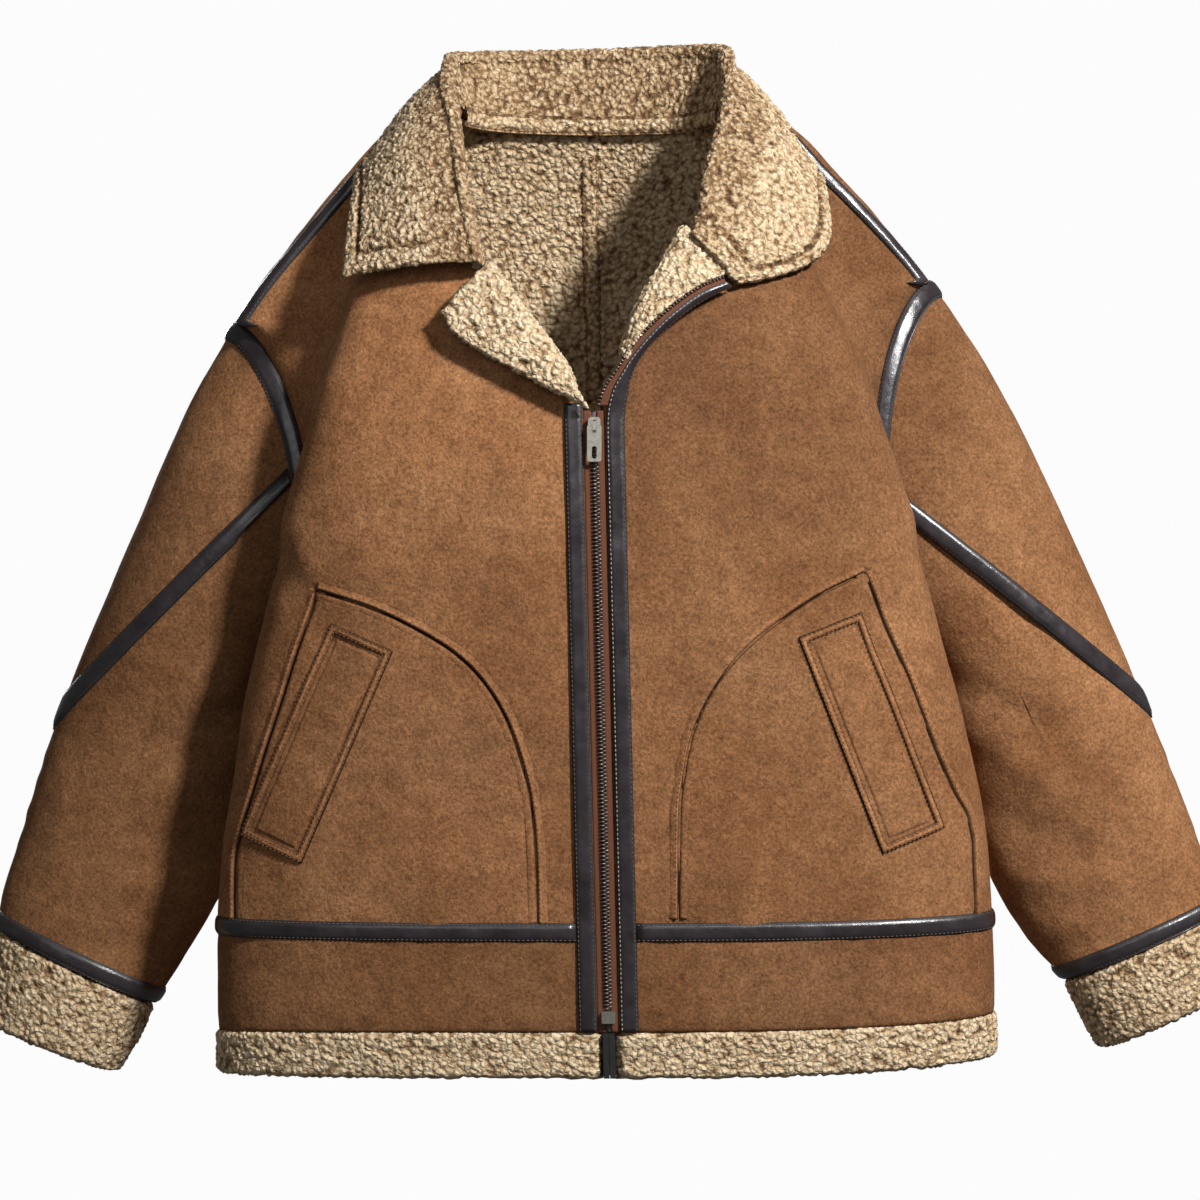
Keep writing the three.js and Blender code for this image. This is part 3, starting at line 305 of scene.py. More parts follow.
# The body's outer face. q runs from the middle over the fold to the side seam, armhole or shoulder.
def fold_at(side, face, z):
    """Where the body turns from its face to its side."""
    wide = read(BODY, NAMES[side], z, "z")
    if face == FRONT:
        return side * wide, read(BODY, "fold", z, "z")
    top = np.minimum(1, smooth((z + 60) / 68))
    inset = mix(14, 6, smooth((z + 420) / 60))
    return side * (wide - inset * (1 - top)), mix(38, 24, top)


def side_end(side, face, z):
    """Where a body panel ends, at its side seam, armhole or shoulder, and the cloth's direction there."""
    ring = {key: column[0] for key, column in SLEEVES[side].items()}
    wide = read(BODY, NAMES[side], z, "z") - read(SIDE_SEAM, "inset", z, "z")
    low_x, low_y = side * wide, read(SIDE_SEAM, "y", z, "z")
    high_x, high_y = side * read(SHOULDER, NAMES[side], z, "z"), read(SHOULDER, "y", z, "z")
    middle = (ring["outZ"] + ring["inZ"]) / 2
    turn = np.arccos(np.clip((z - middle) / ((ring["outZ"] - ring["inZ"]) / 2), -1, 1))
    share = np.abs(np.sin(turn))
    arm_x = side * (mix(ring["inX"], ring["outX"], (1 + np.cos(turn)) / 2) - ring["draw"] * share**DRAW_POWER)
    arm_y = ring["y"] + face * ring["half"] * share
    low, high = z <= ring["inZ"], z >= ring["outZ"]
    x = np.where(low, low_x, np.where(high, high_x, arm_x))
    y = np.where(low, low_y, np.where(high, high_y, arm_y))
    return x, y, np.where(low | high, 90, 90 - ARM_TURN * np.sin(turn))


def body_point(side, face, q, z):
    """A place on the body's outer face: a rounded corner up to the fold, then a curve to the panel's end."""
    q, z = np.broadcast_arrays(np.asarray(q, float), np.asarray(z, float))
    middle = middle_x(z)
    depth = face * read(BODY, "front" if face == FRONT else "back", z, "z")
    fold_x, fold_y = fold_at(side, face, z)
    angle = np.clip(q, 0, FOLD_Q) / FOLD_Q * (math.pi / 2)
    power = 2 / (FRONT_POWER if face == FRONT else BACK_POWER)
    near_x = mix(middle, fold_x, np.sin(angle) ** power)
    near_y = mix(fold_y, depth, np.abs(np.cos(angle)) ** power)
    end_x, end_y, turn = side_end(side, face, z)
    reach = np.hypot(end_x - fold_x, end_y - fold_y)
    third_x = end_x - side * np.cos(np.radians(turn)) * END_HOLD * reach
    third_y = end_y + face * np.sin(np.radians(turn)) * END_HOLD * reach
    k = np.clip((q - FOLD_Q) / (1 - FOLD_Q), 0, 1)

    def curve(start, second, third, end):
        return (1 - k)**3 * start + 3 * (1 - k)**2 * k * second + 3 * (1 - k) * k**2 * third + k**3 * end

    far_x = curve(fold_x, fold_x, third_x, end_x)
    far_y = curve(fold_y, fold_y - face * FOLD_HOLD * reach, third_y, end_y)
    far = q > FOLD_Q
    return stack(np.where(far, far_x, near_x), np.where(far, far_y, near_y), z)


def across(side, z, x):
    """The q of a place on the front, from where it is seen."""
    middle = middle_x(z)
    share = np.clip((x - middle) / (fold_at(side, FRONT, z)[0] - middle), 0, 1)
    return FOLD_Q * (2 / math.pi) * np.arcsin(share ** (FRONT_POWER / 2))


def tube_point(tube, side, turn, t):
    """A place on a sleeve or a cuff: turn is 0 outside and 90 in front, and t counts its sections."""
    angle = np.radians(turn)
    k = (1 + np.cos(angle)) / 2

    def at(key):
        return read(tube[side], key, t)

    return stack(
        side * (mix(at("inX"), at("outX"), k) - at("draw") * np.abs(np.sin(angle)) ** DRAW_POWER),
        at("y") - at("half") * np.sin(angle),
        mix(at("inZ"), at("outZ"), k),
    )


def sleeve_point(side, turn, t):
    return tube_point(SLEEVES, side, turn, t)


def down_sleeve(side, turn, t, distance):
    """The t that lies a real distance further down the sleeve."""
    base = np.clip(t, 0.05, SLEEVE_ROWS - 0.05)
    gone = sleeve_point(side, turn, base + 0.05) - sleeve_point(side, turn, base - 0.05)
    return t + distance * 0.1 / np.linalg.norm(gone, axis=-1)


def slant_at(side, turn, distance=0.0):
    """The t at which a turn of the sleeve crosses the slanted seam, or a line at a distance below it."""
    slant = SLANT[side]
    wide, high = slant["outX"] - slant["inX"], slant["outZ"] - slant["inZ"]
    long = math.hypot(wide, high)

    def past(t):
        p = sleeve_point(side, turn, t)
        return ((side * p[..., 0] - slant["inX"]) * high - (p[..., 2] - slant["inZ"]) * wide) / long

    turn, distance = np.broadcast_arrays(np.asarray(turn, float), np.asarray(distance, float))
    low, high_t = np.zeros_like(turn), np.full_like(turn, SLEEVE_ROWS)
    for _ in range(24):
        middle = (low + high_t) / 2
        short = past(middle) < distance
        low, high_t = np.where(short, middle, low), np.where(short, high_t, middle)
    return np.where(past(np.zeros_like(turn)) >= distance, 0, (low + high_t) / 2)


def level_at(line, side, q):
    """The height of a line round the body, which changes towards the side."""
    return mix(line["middle"], line[NAMES[side]], smooth(q))


def back_height(z, q):
    """The back's neck seam dips towards the middle."""
    return z - 8 * (1 - q) ** 2 * smooth((z + 40) / 48)


# Seeded noise on points in space
def hashed(cell, seed, way):
    h = cell[..., 0] * 73856093 ^ cell[..., 1] * 19349663 ^ cell[..., 2] * 83492791
    h = h ^ (seed * 7919 + way * 104729)
    h = (h ^ (h >> 13)) * 1274126177 & 0x7FFFFFFF
    h = (h ^ (h >> 16)) * 668265263 & 0x7FFFFFFF
    return (h % 65536) / 65535


def cloud(points, size, seed):
    """Smooth noise between -1 and 1, with lumps about as wide as size."""
    grid = points / size
    base = np.floor(grid).astype(np.int64)
    k = smooth(grid - base)
    total = 0
    for corner in product((0, 1), repeat=3):
        weight = np.prod(np.where(np.array(corner) == 1, k, 1 - k), axis=-1)
        total = total + weight * hashed(base + np.array(corner), seed, 0)
    return total * 2 - 1


def curls(points, size, seed):
    """How high the pile stands, 0 in a crevice and 1 on a curl."""
    bent = points + stack(*(0.4 * size * cloud(points, size * 1.1, seed + i) for i in (1, 2, 3)))
    grid = bent / size
    base = np.floor(grid).astype(np.int64)
    near, second = np.full(grid.shape[:-1], 9.0), np.full(grid.shape[:-1], 9.0)
    for step in product((-1, 0, 1), repeat=3):
        cell = base + np.array(step)
        heart = cell + stack(*(hashed(cell, seed, way) for way in (1, 2, 3)))
        far = np.linalg.norm(grid - heart, axis=-1)
        second = np.minimum(second, np.maximum(near, far))
        near = np.minimum(near, far)
    dome = np.sqrt(np.clip(1 - (near / 0.85) ** 2, 0, 1))
    return 0.55 * dome + 0.45 * np.clip((second - near) * 2, 0, 1)


# Grids and meshes: how much painted shade darkens a turned edge, and a distance past every other
EDGE_SHADE = 0.8
FAR_AWAY = 1e3


def normals(points):
    return unit(np.cross(np.gradient(points, axis=1), np.gradient(points, axis=0)))


def facing(points, away):
    """Normals that point away from a place or line."""
    n = normals(points)
    return n if np.median(np.sum(n * (points - away), axis=-1)) > 0 else -n


def body_away(points):
    """A line down the middle of the body, for normals that face away from it."""
    away = points.copy()
    away[..., 0] *= 0.2
    away[..., 1] = 10
    return away


def ring_normals(points):
    """The outward normals of a grid whose lines close on themselves."""
    wrapped = np.concatenate([points[:, -1:], points, points[:, :1]], axis=1)
    return facing(wrapped, points.mean(axis=1, keepdims=True))[:, 1:-1]


def forward(points):
    return np.broadcast_to(np.array([0, -1.0, 0]), points.shape)


def between(first, last, count):
    """A grid of lines from one line over to another."""
    return mix(first[None], last[None], np.linspace(0, 1, count)[:, None, None])


def spread(start, end, wide, spacing):
    """Even steps from start to end, which are a real width apart, at about a real spacing."""
    count = max(4, int(round(wide / (spacing * QUICK))))
    return np.linspace(start, end, count + 1)


def quads_of(lines, columns, ring=False):
    j, i = np.meshgrid(np.arange(lines - 1), np.arange(columns if ring else columns - 1), indexing="ij")
    right = (i + 1) % columns
    corners = [j * columns + i, j * columns + right, (j + 1) * columns + right, (j + 1) * columns + i]
    return np.stack(corners, axis=-1).reshape(-1, 4)


def make(name, points, faces, material, replaces=(), shade=None, smooth_shading=True):
    loops = np.concatenate([f.ravel() for f in faces])
    sizes = np.concatenate([np.full(len(f), f.shape[1]) for f in faces])
    mesh = bpy.data.meshes.new(name)
    mesh.vertices.add(len(points))
    mesh.vertices.foreach_set("co", (points * MM).astype(np.float32).ravel())
    mesh.loops.add(len(loops))
    mesh.loops.foreach_set("vertex_index", loops.astype(np.int32))
    mesh.polygons.add(len(sizes))
    mesh.polygons.foreach_set("loop_start", (np.cumsum(sizes) - sizes).astype(np.int32))
    mesh.update(calc_edges=True)
    if shade is not None:
        values = mesh.attributes.new("shade", "FLOAT", "POINT").data
        values.foreach_set("value", shade.astype(np.float32).ravel())
    if smooth_shading:
        mesh.shade_smooth()
    mesh.materials.append(material)
    piece = bpy.data.objects.new(name, mesh)
    bpy.context.scene.collection.objects.link(piece)
    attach(piece, "jacket")
    for node in replaces:
        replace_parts(piece, node)
    return piece


def panel(name, points, relief, solids=(), n=None, ring=False, turned=CLOTH - 0.5, material=None,
          shade=None):
    """A skin on a grid of places: relief stands out from it, and its edges are turned in."""
    n = facing(points, body_away(points)) if n is None else n
    lines, columns = points.shape[:2]
    outer = (points + n * relief[..., None]).reshape(-1, 3)
    ids = np.arange(lines * columns).reshape(lines, columns)
    if ring:
        loops = [ids[0], ids[-1]]
    else:
        loops = [np.concatenate([ids[0, :-1], ids[:-1, -1], ids[-1, :0:-1], ids[:0:-1, 0]])]
    painted_light = np.ones(len(outer)) if shade is None else shade.ravel()
    under, painted_under_shade, faces = [], [], [quads_of(lines, columns, ring)]
    count = len(outer)
    for loop in loops:
        place = count + np.arange(len(loop))
        count += len(loop)
        under.append(outer[loop] - n.reshape(-1, 3)[loop] * turned)
        # A turned edge gets painted shade.
        painted_under_shade.append(painted_light[loop] * (1 if shade is None else EDGE_SHADE))
        faces.append(np.stack([loop, place, np.roll(place, -1), np.roll(loop, -1)], axis=-1))
    piece = make(name, np.concatenate([outer, *under]), [np.concatenate(faces)], material or SUEDE,
                 replaces=solids, shade=np.concatenate([painted_light, *painted_under_shade]))


def real_lengths(points):
    """Distances along each line and down each column of a grid, from its first edge."""
    over = np.linalg.norm(np.diff(points, axis=1), axis=-1)
    down = np.linalg.norm(np.diff(points, axis=0), axis=-1)
    zero = np.zeros((points.shape[0], 1))
    return (np.concatenate([zero, np.cumsum(over, axis=1)], axis=1),
            np.concatenate([np.zeros((1, points.shape[1])), np.cumsum(down, axis=0)], axis=0))


def edge_distance(points, edges="lrbt"):
    """The real distance from the nearest of the edges named: left, right, bottom, top."""
    over, down = real_lengths(points)
    all_edges = {"l": over, "r": over[:, -1:] - over, "b": down, "t": down[-1:] - down}
    return np.min([all_edges[edge] for edge in edges], axis=0)


# Materials
def material(name, base, roughness, build, **sockets):
    made = bpy.data.materials.new(name)
    made.use_nodes = True
    tree = made.node_tree
    shader = tree.nodes["Principled BSDF"]
    shader.inputs["Base Color"].default_value = (*base, 1)
    shader.inputs["Roughness"].default_value = roughness
    for key, value in sockets.items():
        shader.inputs[key.replace("_", " ")].default_value = value
    made.diffuse_color = (*base, 1)
    build(Nodes(tree), shader)
    return made


class Nodes:
    """Short names for the shader nodes that the materials share."""

    def __init__(self, tree):
        self.tree = tree
        self.place = tree.nodes.new("ShaderNodeTexCoord").outputs["Object"]

    def link(self, a, b):
        self.tree.links.new(a, b)

    def noise(self, scale, detail, roughness):
        node = self.tree.nodes.new("ShaderNodeTexNoise")
        node.inputs["Scale"].default_value = scale
        node.inputs["Detail"].default_value = detail
        node.inputs["Roughness"].default_value = roughness
        self.link(self.place, node.inputs["Vector"])
        return node.outputs["Fac"]

    def voronoi(self, scale, place=None):
        node = self.tree.nodes.new("ShaderNodeTexVoronoi")
        node.inputs["Scale"].default_value = scale
        self.link(place or self.place, node.inputs["Vector"])
        return node.outputs["Distance"]

    def attribute(self, name):
        node = self.tree.nodes.new("ShaderNodeAttribute")
        node.attribute_name = name
        return node.outputs["Fac"]

    def ramp(self, value, stops):
        node = self.tree.nodes.new("ShaderNodeValToRGB")
        ramp = node.color_ramp
        for i, (at, colour) in enumerate(stops):
            stop = ramp.elements[i] if i < 2 else ramp.elements.new(at)
            stop.position = at
            stop.color = (*colour, 1)
        self.link(value, node.inputs["Fac"])
        return node.outputs["Color"]

    def math(self, how, a, b):
        node = self.tree.nodes.new("ShaderNodeMath")
        node.operation = how
        for socket, value in zip(node.inputs, (a, b)):
            if isinstance(value, (int, float)):
                socket.default_value = value
            else:
                self.link(value, socket)
        return node.outputs[0]

    def multiply(self, first, second):
        """The product of two colours."""
        node = self.tree.nodes.new("ShaderNodeMix")
        node.data_type = "RGBA"
        node.blend_type = "MULTIPLY"
        node.inputs["Factor"].default_value = 1
        sockets = [socket for socket in node.inputs if socket.type == "RGBA"]
        for colour, socket in zip((first, second), sockets):
            self.link(colour, socket)
        return [socket for socket in node.outputs if socket.type == "RGBA"][0]

    def shaded(self, colour, darkest=0.0):
        """The colour times the mesh's shade attribute, which holds its painted light and shade."""
        painted_light = self.ramp(self.attribute("shade"), [(0, (darkest,) * 3), (1, (1, 1, 1))])
        return self.multiply(colour, painted_light)

    def warped(self, scale, strength):
        """Places pushed about by noise."""
        node = self.tree.nodes.new("ShaderNodeTexNoise")
        node.inputs["Scale"].default_value = scale
        self.link(self.place, node.inputs["Vector"])
        add = self.tree.nodes.new("ShaderNodeVectorMath")
        add.operation = "MULTIPLY_ADD"
        self.link(node.outputs["Color"], add.inputs[0])
        add.inputs[1].default_value = (strength,) * 3
        self.link(self.place, add.inputs[2])
        return add.outputs["Vector"]

    def bump(self, shader, layers):
        before = None
        for height, distance in layers:
            node = self.tree.nodes.new("ShaderNodeBump")
            node.inputs["Distance"].default_value = distance
            node.inputs["Strength"].default_value = 1
            self.link(height, node.inputs["Height"])
            if before:
                self.link(before, node.inputs["Normal"])
            before = node.outputs["Normal"]
        self.link(before, shader.inputs["Normal"])


def suede_nodes(kit, shader):
    """Brushed nap: wide patches where it lies the other way, small ones, and single fibres."""
    wide = kit.noise(11, 3, 0.55)
    patch = kit.noise(75, 3, 0.6)
    nap = kit.noise(420, 3, 0.7)
    fibre = kit.noise(1500, 2, 0.6)
    layers = [
        (patch, (0.82, 0.80, 0.78), (1.14, 1.16, 1.18)),
        (nap, (0.56, 0.54, 0.52), (1.44, 1.47, 1.52)),
        (fibre, (0.70, 0.69, 0.68), (1.25, 1.26, 1.28)),
    ]
    colour = kit.ramp(wide, [(0.3, (0.356, 0.151, 0.059)), (0.7, (0.494, 0.232, 0.100))])
    for value, low, high in layers:
        colour = kit.multiply(colour, kit.ramp(value, [(0.3, low), (0.7, high)]))
    kit.link(kit.shaded(colour), shader.inputs["Base Color"])
    kit.bump(shader, [(patch, 0.0012), (nap, 0.0006), (fibre, 0.0003)])


def sherpa_nodes(kit, shader):
    """Curled pile: small curls between the modelled ones, with painted shade where they part and in the
    modelled crevices.
    """
    bent = kit.warped(160, 0.0055)
    stops = [(0.15, (1, 1, 1)), (0.50, (0.55, 0.55, 0.55)), (0.85, (0, 0, 0))]
    lump = kit.ramp(kit.voronoi(225, bent), stops)
    patch = kit.noise(120, 2, 0.5)
    small = kit.noise(900, 3, 0.65)
    modelled = kit.math("MULTIPLY", kit.attribute("shade"), 0.62)
    height = kit.math("ADD", modelled, kit.math("MULTIPLY", lump, 0.38))
    for value, share in ((small, 0.45), (patch, 0.4)):
        height = kit.math("ADD", height, kit.math("MULTIPLY", kit.math("SUBTRACT", value, 0.5), share))
    # Painted shade: dark brown where the curls part, pale cream on their tops.
    colour = kit.ramp(height, [
        (0.22, (0.075, 0.036, 0.015)),
        (0.44, (0.26, 0.150, 0.072)),
        (0.62, (0.52, 0.37, 0.215)),
        (0.92, (0.76, 0.605, 0.405)),
    ])
    kit.link(colour, shader.inputs["Base Color"])
    kit.bump(shader, [(lump, 0.0030), (patch, 0.0016), (small, 0.0007)])


def leather_nodes(kit, shader):
    """Dark glossy leather with a fine grain, dull and darkened by painted shade where it is pressed down."""
    grain = kit.voronoi(1100)
    crush = kit.noise(160, 3, 0.6)
    fine = kit.noise(45, 2, 0.5)
    shade = kit.attribute("shade")
    colour = kit.ramp(fine, [(0.3, (0.014, 0.0095, 0.0105)), (0.75, (0.033, 0.026, 0.030))])
    kit.link(kit.shaded(colour, 0.1), shader.inputs["Base Color"])
    rough = kit.math("ADD", kit.math("MULTIPLY", crush, 0.3), 0.16)
    kit.link(kit.math("ADD", rough, kit.math("MULTIPLY", kit.math("SUBTRACT", 1, shade), 0.5)),
             shader.inputs["Roughness"])
    kit.bump(shader, [(fine, 0.0011), (crush, 0.00022), (grain, 0.00008)])


def tape_nodes(kit, shader):
    """Woven tape: fine diagonal ribs."""
    wave = kit.tree.nodes.new("ShaderNodeTexWave")
    wave.bands_direction = "DIAGONAL"
    wave.inputs["Scale"].default_value = 420
    wave.inputs["Distortion"].default_value = 0.6
    kit.link(kit.place, wave.inputs["Vector"])
    colour = kit.ramp(wave.outputs["Fac"], [(0.2, (0.080, 0.030, 0.016)), (0.8, (0.21, 0.080, 0.042))])
    kit.link(colour, shader.inputs["Base Color"])
    kit.bump(shader, [(wave.outputs["Fac"], 0.0003)])


def metal_nodes(kit, shader):
    worn = kit.noise(420, 3, 0.6)
    colour = kit.ramp(worn, [(0.35, (0.60, 0.56, 0.48)), (0.65, (0.80, 0.76, 0.67))])
    kit.link(colour, shader.inputs["Base Color"])


def thread_nodes(kit, shader):
    kit.bump(shader, [(kit.noise(3000, 1, 0.5), 0.0001)])


SUEDE = material("suede", (0.25, 0.115, 0.048), 0.92, suede_nodes, Specular_IOR_Level=0.12,
                 Sheen_Weight=0.07, Sheen_Roughness=0.4, Sheen_Tint=(1, 0.66, 0.4, 1))
SHERPA = material("sherpa", (0.64, 0.48, 0.30), 1.0, sherpa_nodes, Specular_IOR_Level=0.08,
                  Sheen_Weight=0.12, Sheen_Roughness=0.5, Sheen_Tint=(1, 0.85, 0.65, 1))
LEATHER = material("leather", (0.045, 0.033, 0.031), 0.34, leather_nodes, Specular_IOR_Level=0.6,
                   Coat_Weight=0.25, Coat_Roughness=0.22)
TAPE = material("zip_tape", (0.2, 0.09, 0.055), 0.85, tape_nodes, Specular_IOR_Level=0.2)
METAL = material("zip_metal", (0.55, 0.5, 0.4), 0.28, metal_nodes, Metallic=1.0)
TEETH = material("zip_teeth", (0.17, 0.13, 0.11), 0.3, thread_nodes, Metallic=0.7)
DARK_THREAD = material("dark_thread", (0.11, 0.08, 0.07), 0.6, thread_nodes, Specular_IOR_Level=0.3)
PALE_THREAD = material("pale_thread", (0.42, 0.37, 0.33), 0.6, thread_nodes, Specular_IOR_Level=0.3)
TAN_THREAD = material("tan_thread", (0.20, 0.10, 0.048), 0.7, thread_nodes, Specular_IOR_Level=0.3)


# Stitches, and the lines of them that the pieces leave behind: each a line and its normals
STITCH = {"long": 2.5, "gap": 0.9, "radius": 0.36, "least": 0.5, "clear": 0.3}
leather_lines = []
pale_lines = []
body_lines = []
pile_lines = []


def resampled(line, spacing):
    step = np.linalg.norm(np.diff(line, axis=0), axis=-1)
    gone = np.concatenate([[0], np.cumsum(step)])
    count = max(2, int(gone[-1] / spacing))
    at = np.linspace(0, gone[-1], count + 1)
    return np.stack([np.interp(at, gone, line[:, i]) for i in range(3)], axis=-1)


def stitches(name, lines, material):
    """Short spindles of thread along each line, each one sunk at both ends."""
    points, quads, triangles = [], [], []
    count = 0
    for line, normal in lines:
        starts = resampled(line, STITCH["long"] + STITCH["gap"])
        above = resampled(line + normal * 10, STITCH["long"] + STITCH["gap"])
        for start, end, out in zip(starts[:-1], starts[1:], above[:-1]):
            out = unit(out - start)
            along = end - start
            far = np.linalg.norm(along)
            if far < STITCH["least"]:
                continue
            along = along / far
            side = np.cross(along, out)
            long = min(STITCH["long"], far - STITCH["clear"])
            r = STITCH["radius"]
            points.append(start - out * r)
            for share in (0.25, 0.75):
                heart = start + along * long * share + out * r * 0.35
                points.extend(heart + r * (side * c + out * s) for c, s in ((1, 0), (0, 1), (-1, 0), (0, -1)))
            points.append(start + along * long - out * r)
            for k in range(4):
                following = (k + 1) % 4
                triangles.append([count, count + 1 + k, count + 1 + following])
                quads.append([count + 1 + k, count + 5 + k, count + 5 + following, count + 1 + following])
                triangles.append([count + 9, count + 5 + following, count + 5 + k])
            count += 10
    return make(name, np.array(points), [np.array(quads), np.array(triangles)], material)


# Leather strips
STRIP_EDGE = 0.1
STRIP_CELLS = 10
STRIP_TURNED = 1.2
CROWN_POWER = 2.4
FURROW_HALF = 0.09
FURROW_DEPTH = 0.6
STITCH_LIFT = 0.25


def strip(node, points, seed, n=None, ring=False, lift=0.0, rise=TRIM_OUT, pale_edge=False):
    """A crowned strip along a grid whose lines run across it, with a stitch line inside each edge."""
    n = facing(points, body_away(points)) if n is None else n
    aside = np.abs(np.linspace(-1, 1, points.shape[0]))[:, None]
    crown = np.sqrt(np.clip(1 - aside ** CROWN_POWER, 0, 1))
    furrow = np.exp(-((aside - (1 - 2 * STRIP_EDGE)) / FURROW_HALF) ** 2)
    crush = 0.24 * cloud(points, 10, seed) + 0.08 * cloud(points, 4, seed + 9)
    height = lift - 0.2 + (rise + 0.1) * crown - FURROW_DEPTH * furrow + crush * crown
    # Painted shade in the stitch furrows and along the strip's outer edges.
    shade = np.clip(1 - 0.8 * furrow - 0.6 * (aside > 0.99), 0, 1) * np.ones(points.shape[:2])
    panel(f"{node}_leather", points, height, [node], n, ring, STRIP_TURNED, LEATHER, shade)
    cells = points.shape[0] - 1
    first_lines = pale_lines if pale_edge else leather_lines
    for share, lines in ((STRIP_EDGE, first_lines), (1 - STRIP_EDGE, leather_lines)):
        row = int(round(share * cells))
        line = (points + n * height[..., None])[row] + n[row] * STITCH_LIFT
        normal = n[row]
        if ring:
            line = np.concatenate([line, line[:1]])
            normal = np.concatenate([normal, normal[:1]])
        lines.append((line, normal))


# Suede panels: how far a skin lies below its solid's face, and how light it is away from the painted shade at
# its seams, which leaves room for painted highlights
REST = -0.5
SUEDE_REST = 0.8
# How far a seam's pull reaches into a panel, and how far its dip and its shadow do
PULL_REACH = 25
DIP_REACH = 3.0
# The wide, middling and small waves of a skin: height and size
WAVES = ((0.9, 85), (0.45, 34), (0.1, 9))


def uneven(points, seed):
    return sum(high * cloud(points, size, seed + i) for i, (high, size) in enumerate(WAVES))


def relief_of(points, seed, edges="lrbt", folds=0):
    """The cloth's own unevenness, edges drawn down into their seams, and small puckers beside them."""
    away = edge_distance(points, edges)
    pucker = cloud(points, 11, seed + 3) * np.exp(-((away - 7) / 6) ** 2)
    own = uneven(points, seed) * smooth(away / PULL_REACH) - np.exp(-away / DIP_REACH)
    return own + 0.6 * pucker + REST + folds


def shade_of(points, seed, edges="lrbt"):
    # Painted shade darkens the suede beside its seams, where they dip; the slow cloud is the nap's own uneven
    # tone.
    away = edge_distance(points, edges)
    return SUEDE_REST * (0.93 + 0.09 * cloud(points, 60, seed + 5) - 0.28 * np.exp(-away / DIP_REACH))


def line_distance(x, z, points):
    """The distance of places from a line of points, seen from the front."""
    far = np.full(x.shape, FAR_AWAY)
    for (ax, az), (bx, bz) in zip(points[:-1], points[1:]):
        wide, high = bx - ax, bz - az
        k = np.clip(((x - ax) * wide + (z - az) * high) / (wide * wide + high * high), 0, 1)
        far = np.minimum(far, np.hypot(x - ax - k * wide, z - az - k * high))
    return far


def rounded_outline(outline):
    """A pocket panel's arc as a smooth line, with its corner kept sharp."""
    points = np.array(outline, float)
    arc = dict(zip("xz", points[:ARC_POINTS].T))
    at = np.linspace(0, ARC_POINTS - 1, 60)
    return np.concatenate([np.stack([read(arc, key, at) for key in "xz"], axis=-1), points[ARC_POINTS:]])


# Creases seen from the front: both ends, half width, depth (below zero is a trough)
CREASE_NAMES = ["x0", "z0", "x1", "z1", "half", "rise"]
BODY_CREASES = rows(CREASE_NAMES, [
    [-245, -330, -190, -420, 16, -2.2],
    [-250, -300, -205, -350, 14, 2.0],
    [240, -320, 200, -420, 16, -2.2],
    [246, -290, 210, -350, 14, 1.8],
    [-60, -250, -52, -400, 18, 1.4],
    [40, -240, 62, -380, 18, 1.4],
    [-180, -130, -205, -230, 16, 2.0],
    [170, -130, 200, -230, 16, 2.0],
    [-250, -560, -235, -640, 12, -1.6],
    [-120, -560, -118, -640, 16, 1.2],
    [120, -545, 110, -640, 16, 1.2],
    [255, -550, 240, -640, 12, -1.6],
    [-150, -300, -110, -370, 20, -1.2],
    [140, -300, 110, -370, 20, -1.2],
])
SLEEVE_CREASES = {
    RIGHT: rows(CREASE_NAMES, [
        [-262, -440, -345, -480, 14, -3.0],
        [-258, -470, -340, -515, 12, 2.4],
        [-280, -540, -360, -560, 14, -2.2],
        [-300, -585, -380, -590, 12, 2.0],
        [-330, -640, -420, -625, 10, -1.8],
        [-400, -500, -425, -580, 14, 1.6],
        [-285, -330, -330, -400, 14, -2.0],
    ]),
    LEFT: rows(CREASE_NAMES, [
        [262, -430, 345, -470, 14, -3.0],
        [262, -465, 345, -505, 12, 2.4],
        [290, -530, 365, -548, 14, -2.2],
        [310, -575, 390, -575, 12, 2.0],
        [345, -630, 430, -610, 10, -1.8],
        [405, -490, 435, -570, 14, 1.6],
        [280, -330, 325, -390, 14, -2.0],
    ]),
}


def creases(points, table):
    """Soft troughs and ridges that fade out towards both ends."""
    x, z = points[..., 0], points[..., 2]
    total = np.zeros(x.shape)
    for i in range(len(table["x0"])):
        ax, az, bx, bz = (table[key][i] for key in ("x0", "z0", "x1", "z1"))
        long = math.hypot(bx - ax, bz - az)
        k = ((x - ax) * (bx - ax) + (z - az) * (bz - az)) / long / long
        aside = ((x - ax) * (bz - az) - (z - az) * (bx - ax)) / long
        bend = aside + 5 * np.sin(k * math.pi + i)
        k = np.clip(k, -0.3, 1.3)
        fade = smooth((k + 0.3) / 0.5) * smooth((1.3 - k) / 0.5)
        total += table["rise"][i] * fade * np.exp(-(bend / table["half"][i]) ** 2)
    return total


def front_points(side, columns, heights, level=True):
    """A front's grid, from the zip or the open neck to the side, with its lowest line along the waist."""
    a, z = np.meshgrid(columns, heights)
    edge = across(side, z, zip_x(z) + side * ZIP_EDGE)
    neck = across(side, z, read(NECK, NAMES[side], z, "z"))
    start = np.where(z < NECK["z"][0], edge, neck)
    q = mix(start, PANEL_END, a)
    if level:
        low = level_at(WAIST_LINE, side, q) + SEAM / 2
        z = z + (low - heights[0]) * (1 - smooth((z - heights[0]) / LEVEL_REACH))
    return body_point(side, FRONT, q, z)


